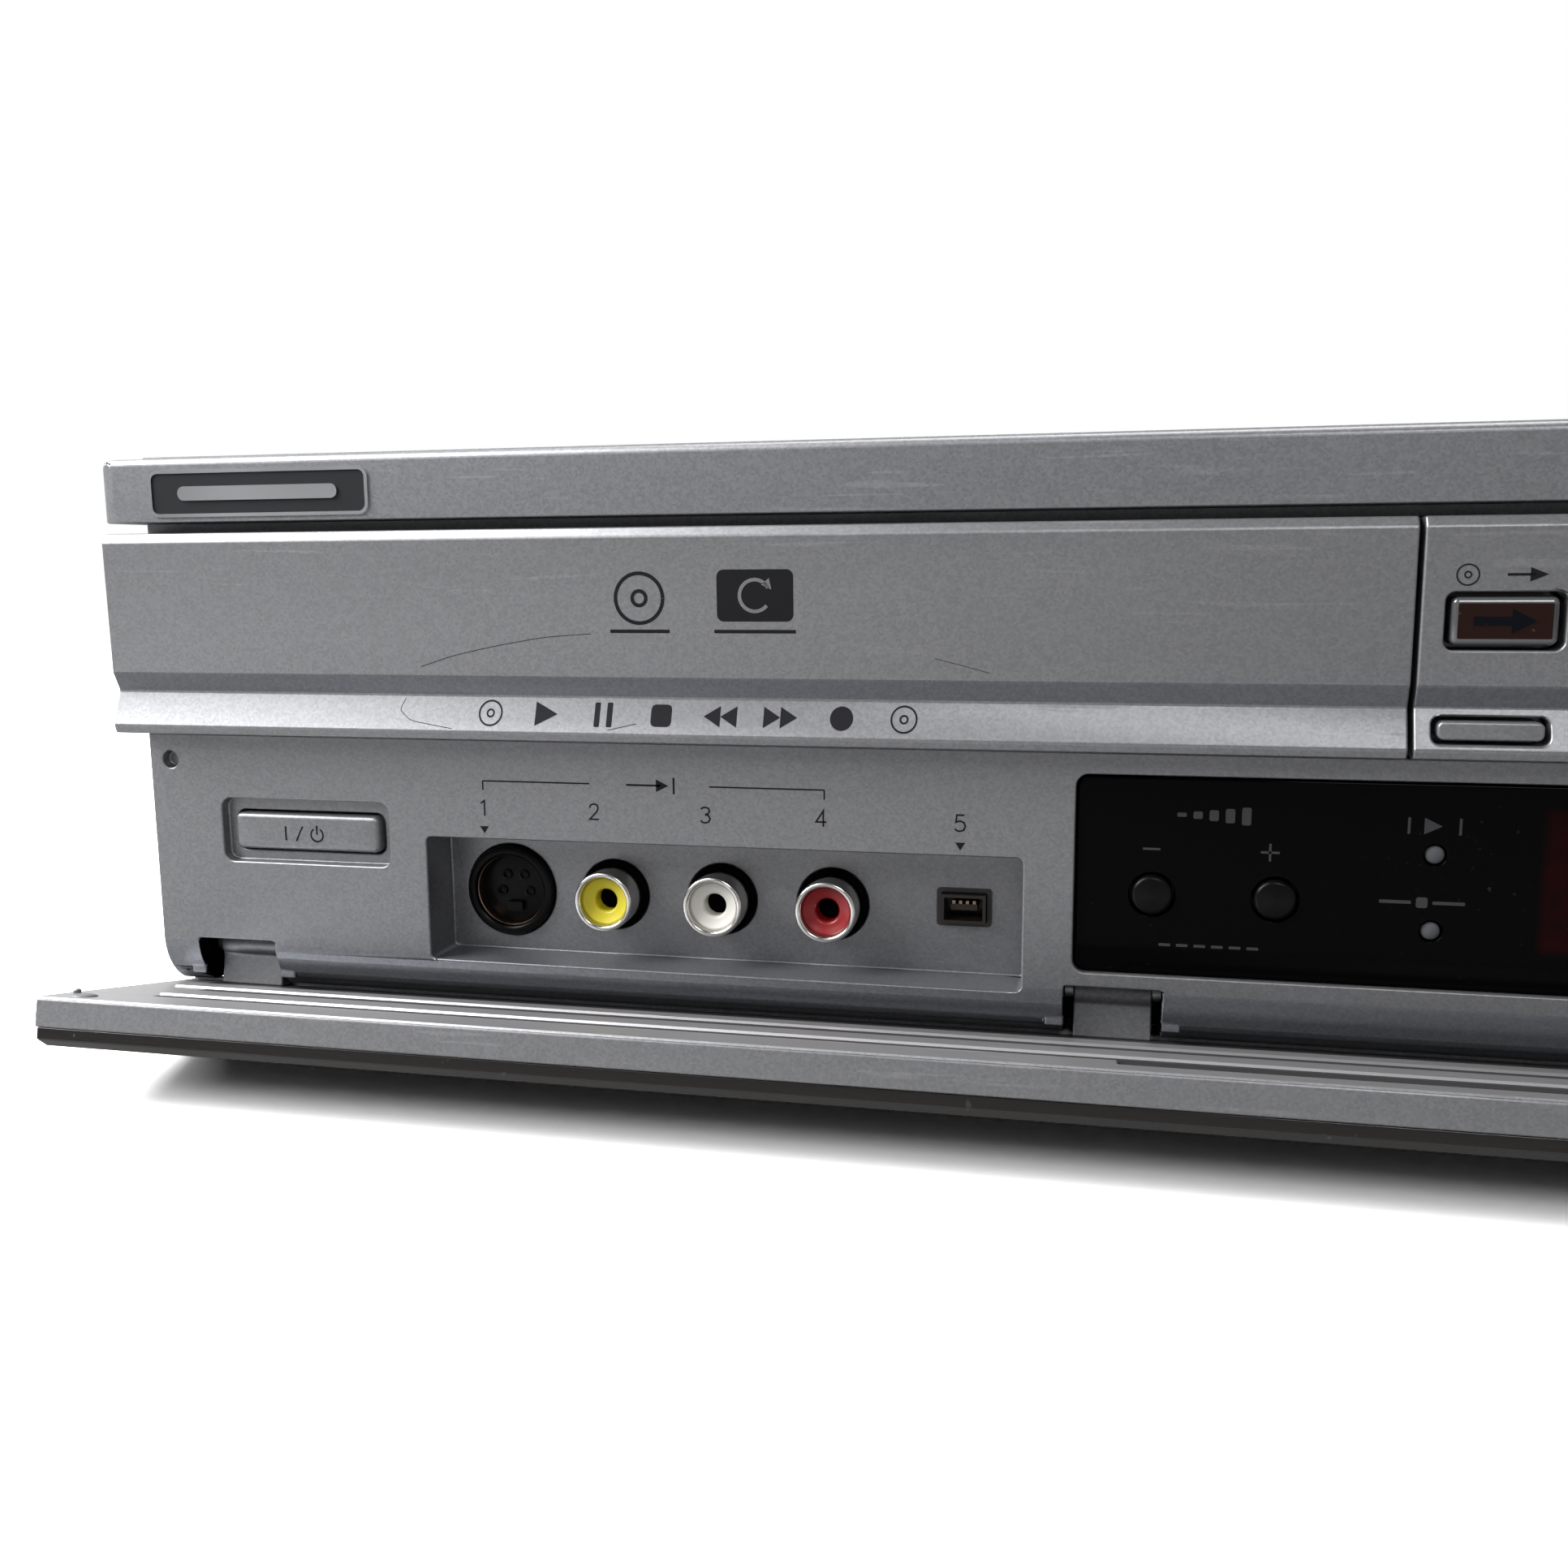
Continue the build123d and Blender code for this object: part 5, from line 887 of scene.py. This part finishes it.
ink = {"stroke": 0.2, "bracketTop": 40.72, "bracketDrop": 1.25,
       "brackets": ((54.0, 69.4, 54.0), (86.1, 101.5, 101.5)),    # from, to, and where the end turns down
       "arrow": (74.6, 79.4, 40.7), "digitZ": 35.9, "digitHigh": 2.1, "firstX": 54.0, "lastX": 119.1,
       "pointerZ": 33.95}
bodyMarks = []
top, foot = ink["bracketTop"], ink["bracketTop"] - ink["bracketDrop"]
for x0, x1, dropAt in ink["brackets"]:
    for path in ([(x0, top), (x1, top)], [(dropAt, top), (dropAt, foot)]):
        bodyMarks.append(inkLine(path, ink["stroke"], 0))
tail, tip, z = ink["arrow"]
bodyMarks += [inkLine([(tail, z), (tip, z)], 0.26, 0), triangle(tip + 0.2, z, 1.7, 1.7),
              inkLine([(tip + 1.8, z - 1.1), (tip + 1.8, z + 1.1)], 0.26, 0)]
for text, x in zip("12345", [ink["firstX"], *socketXs, ink["lastX"]]):
    bodyMarks += digit(text, x, ink["digitZ"], ink["digitHigh"])
bodyMarks += [triangle(x, ink["pointerZ"], 1.0, 1.3, -math.pi / 2) for x in (ink["firstX"], ink["lastX"])]
makePiece("bodyMarks", onFace("body", bodyMarks), look["printInk"], "chassis")

standby = {"x": 28.3, "z": 32.25, "outer": 1.05, "inner": 0.82}
powerMarks = [inkLine([(23.4, 31.35), (23.4, 33.35)], 0.24, 0),
              inkLine([(25.0, 31.3), (26.1, 33.4)], 0.22, 0),
              inkRing(standby["x"], standby["z"], standby["outer"], standby["inner"], 0, math.radians(120),
                      math.radians(300)),
              inkLine([(standby["x"], 32.3), (standby["x"], 33.6)], 0.24, 0)]
makePiece("powerMarks", onFace("power", powerMarks), look["printInk"], "power_button")

windowMarks = [bar(142.7, 34.4, 2.1, 0.28), bar(156.7, 34.45, 2.2, 0.28), bar(156.7, 34.45, 0.28, 2.2)]
windowMarks += [bar(146.2 + 1.9 * i, 38.8, 1.1, 0.5 + 0.42 * i) for i in range(5)]
windowMarks += [bar(144.6 + 2.1 * i, 22.3, 1.4, 0.35) for i in range(6)]
windowMarks += [triangle(175.0, 38.3, 2.0, 2.0), bar(172.3, 38.3, 0.3, 2.0), bar(178.0, 38.3, 0.3, 2.0)]
windowMarks += [bar(171.2, 29.0, 3.6, 0.4), bar(174.2, 29.0, 1.3, 1.3), bar(177.2, 29.0, 3.6, 0.4)]
makePiece("windowMarks", onFace("window", windowMarks), look["windowInk"], "chassis")

blockMarks = discSign(176.2, 67.8, 1.25) + [inkLine([(180.3, 67.8), (183.2, 67.8)], 0.3, 0),
                                            triangle(183.6, 67.8, 1.9, 1.6)]
makePiece("blockMarks", onFace("drawer", blockMarks), look["printInk"], "chassis")

drawerSign = {"discX": 78.2, "discZ": 65.4, "plateX": 93.45, "plateZ": 65.7, "plate": (9.9, 6.5, 0.9),
              "lineZ": 61.2, "lift": -0.03}
drawerMarks = discSign(drawerSign["discX"], drawerSign["discZ"], 3.4)
for x, width in ((drawerSign["discX"], 8.0), (93.4, 10.6)):
    drawerMarks.append(bar(x, drawerSign["lineZ"], width, 0.45))
plate = roundedRectangle(*drawerSign["plate"]) + [drawerSign["plateX"], drawerSign["plateZ"]]
drawerMarks.append(inkPlate(plate, 0))
makePiece("drawerMarks", onFace("drawer", drawerMarks), look["printInk"], "drawer")
lightSigns = [inkRing(drawerSign["plateX"], drawerSign["plateZ"], 2.2, 1.75, drawerSign["lift"], 0.5, 5.1),
              triangle(95.2, 66.95, 1.3, 1.3, -0.9, drawerSign["lift"])]
makePiece("drawerSigns", onFace("drawer", lightSigns), silverPaint, "drawer")

row = {"left": 57.0, "pitch": 7.9, "z": 50.35, "high": 3.1}
signs = []
for index, kind in enumerate(["disc", "play", "pause", "stop", "back", "forward", "record", "disc"]):
    x = row["left"] + row["pitch"] * index
    if kind == "disc":
        signs += discSign(x, row["z"], 0.55 * row["high"])
    elif kind == "play":
        signs.append(triangle(x, row["z"], row["high"], row["high"]))
    elif kind == "pause":
        signs += [bar(x + step, row["z"], 0.75, row["high"]) for step in (-0.85, 0.85)]
    elif kind == "stop":
        signs.append(bar(x, row["z"], 0.9 * row["high"], 0.9 * row["high"]))
    elif kind == "record":
        signs.append(inkDisc(x, row["z"], 0.48 * row["high"], 0))
    else:
        turn = math.pi if kind == "back" else 0.0
        signs += [triangle(x + step, row["z"], 2.2, 0.85 * row["high"], turn) for step in (-1.1, 1.1)]
makePiece("stripMarks", onFace("strip", signs), look["printInk"], "drawer")
print("marks laid")

# Plain plaque where a badge would be: a dark field, a raised rim and one raised bar
plaque = {"middle": (24.0, 79.7), "size": (33.0, 6.3, 1.4), "rim": 0.45, "rimHigh": 0.25, "fieldInset": 0.3,
          "fieldHigh": 0.06, "bar": (24.0, 1.9, 0.9), "barHigh": 0.3, "foot": 0.02}


def plaqueOutline(inset):
    width, height, corner = plaque["size"]
    return roundedRectangle(width - 2 * inset, height - 2 * inset, corner - inset) + plaque["middle"]


field = inkPlate(plaqueOutline(plaque["fieldInset"]), 0, plaque["fieldHigh"])
makePiece("plaqueField", onFace("cap", [field]), look["darkField"], "chassis")
rimPart = flatRing(plaqueOutline(0), plaqueOutline(plaque["rim"]), plaque["foot"], -plaque["rimHigh"])
barPart = inkPlate(roundedRectangle(*plaque["bar"]) + plaque["middle"], 0, plaque["barHigh"])
makePiece("plaqueRim", onFace("cap", [rimPart, barPart]), look["satinChrome"], "chassis")


def hairline(path, width):
    # A curve that rounds off the path's corners, drawn as a stroke thinner than a hair.
    steps, reach = 60, 4
    path = np.asarray(path, float)
    knots, at = np.linspace(0, 1, len(path)), np.linspace(0, 1, steps)
    fine = np.stack([np.interp(at, knots, path[:, k]) for k in (0, 1)], -1)
    padded = np.pad(fine, ((reach, reach), (0, 0)), mode="edge")
    kernel = np.ones(2 * reach + 1) / (2 * reach + 1)
    smooth = np.stack([np.convolve(padded[:, k], kernel, mode="valid") for k in (0, 1)], -1)
    return inkLine(smooth, width, 0)


scratches = [hairline([(47.0, 56.3), (52.0, 57.9), (58.0, 59.2), (65.0, 60.4), (72.0, 60.9)], 0.08),
             hairline([(116.0, 58.0), (120.0, 57.0), (123.0, 56.2)], 0.06)]
makePiece("drawerScratches", onFace("drawer", scratches), look["printInk"], "drawer")
scratches = [hairline([(44.5, 52.2), (43.8, 50.6), (45.5, 49.2), (52.0, 48.2)], 0.08),
             hairline([(77.5, 49.3), (73.5, 48.4)], 0.08)]
makePiece("stripScratches", onFace("strip", scratches), look["printInk"], "drawer")

# The inside and the case keep their drawn shapes and take their finishes
finishOf = {
    "coverPaint": ["top_cover"],
    "zincSteel": ["bottom_chassis", "rear_panel", "drive_cover", "carriage_slides", "vcr_deck", "tuner",
                  "door_pins", "guide_rods", "cassette_carriage"],
    "blackMatt": ["jack_board", "disc_tray", "pickup", "disc_clamp", "rear_jacks", "cord_gland", "fan_frame",
                  "fan_rotor", "drive_base"],
    "brownShell": ["dv_socket"],
    "nickel": ["cover_screws"],
    "solderMask": ["front_board", "main_board", "power_board"],
    "greyMoulding": ["traverse_frame", "display_tube"],
    "whiteMoulding": ["drive_gear", "belt_pulley", "motor_pulley", "supply_reel", "takeup_reel"],
    "rubber": ["feet", "loading_belt", "turntable"],
    "turnedAluminium": ["drum_base", "head_drum", "capstan", "loading_motor"],
}
for finish, names in finishOf.items():
    for name in names:
        mesh = nodes[name].data
        mesh.materials.clear()
        mesh.materials.append(coverPaint if finish == "coverPaint" else look[finish])
print("drawn nodes finished")
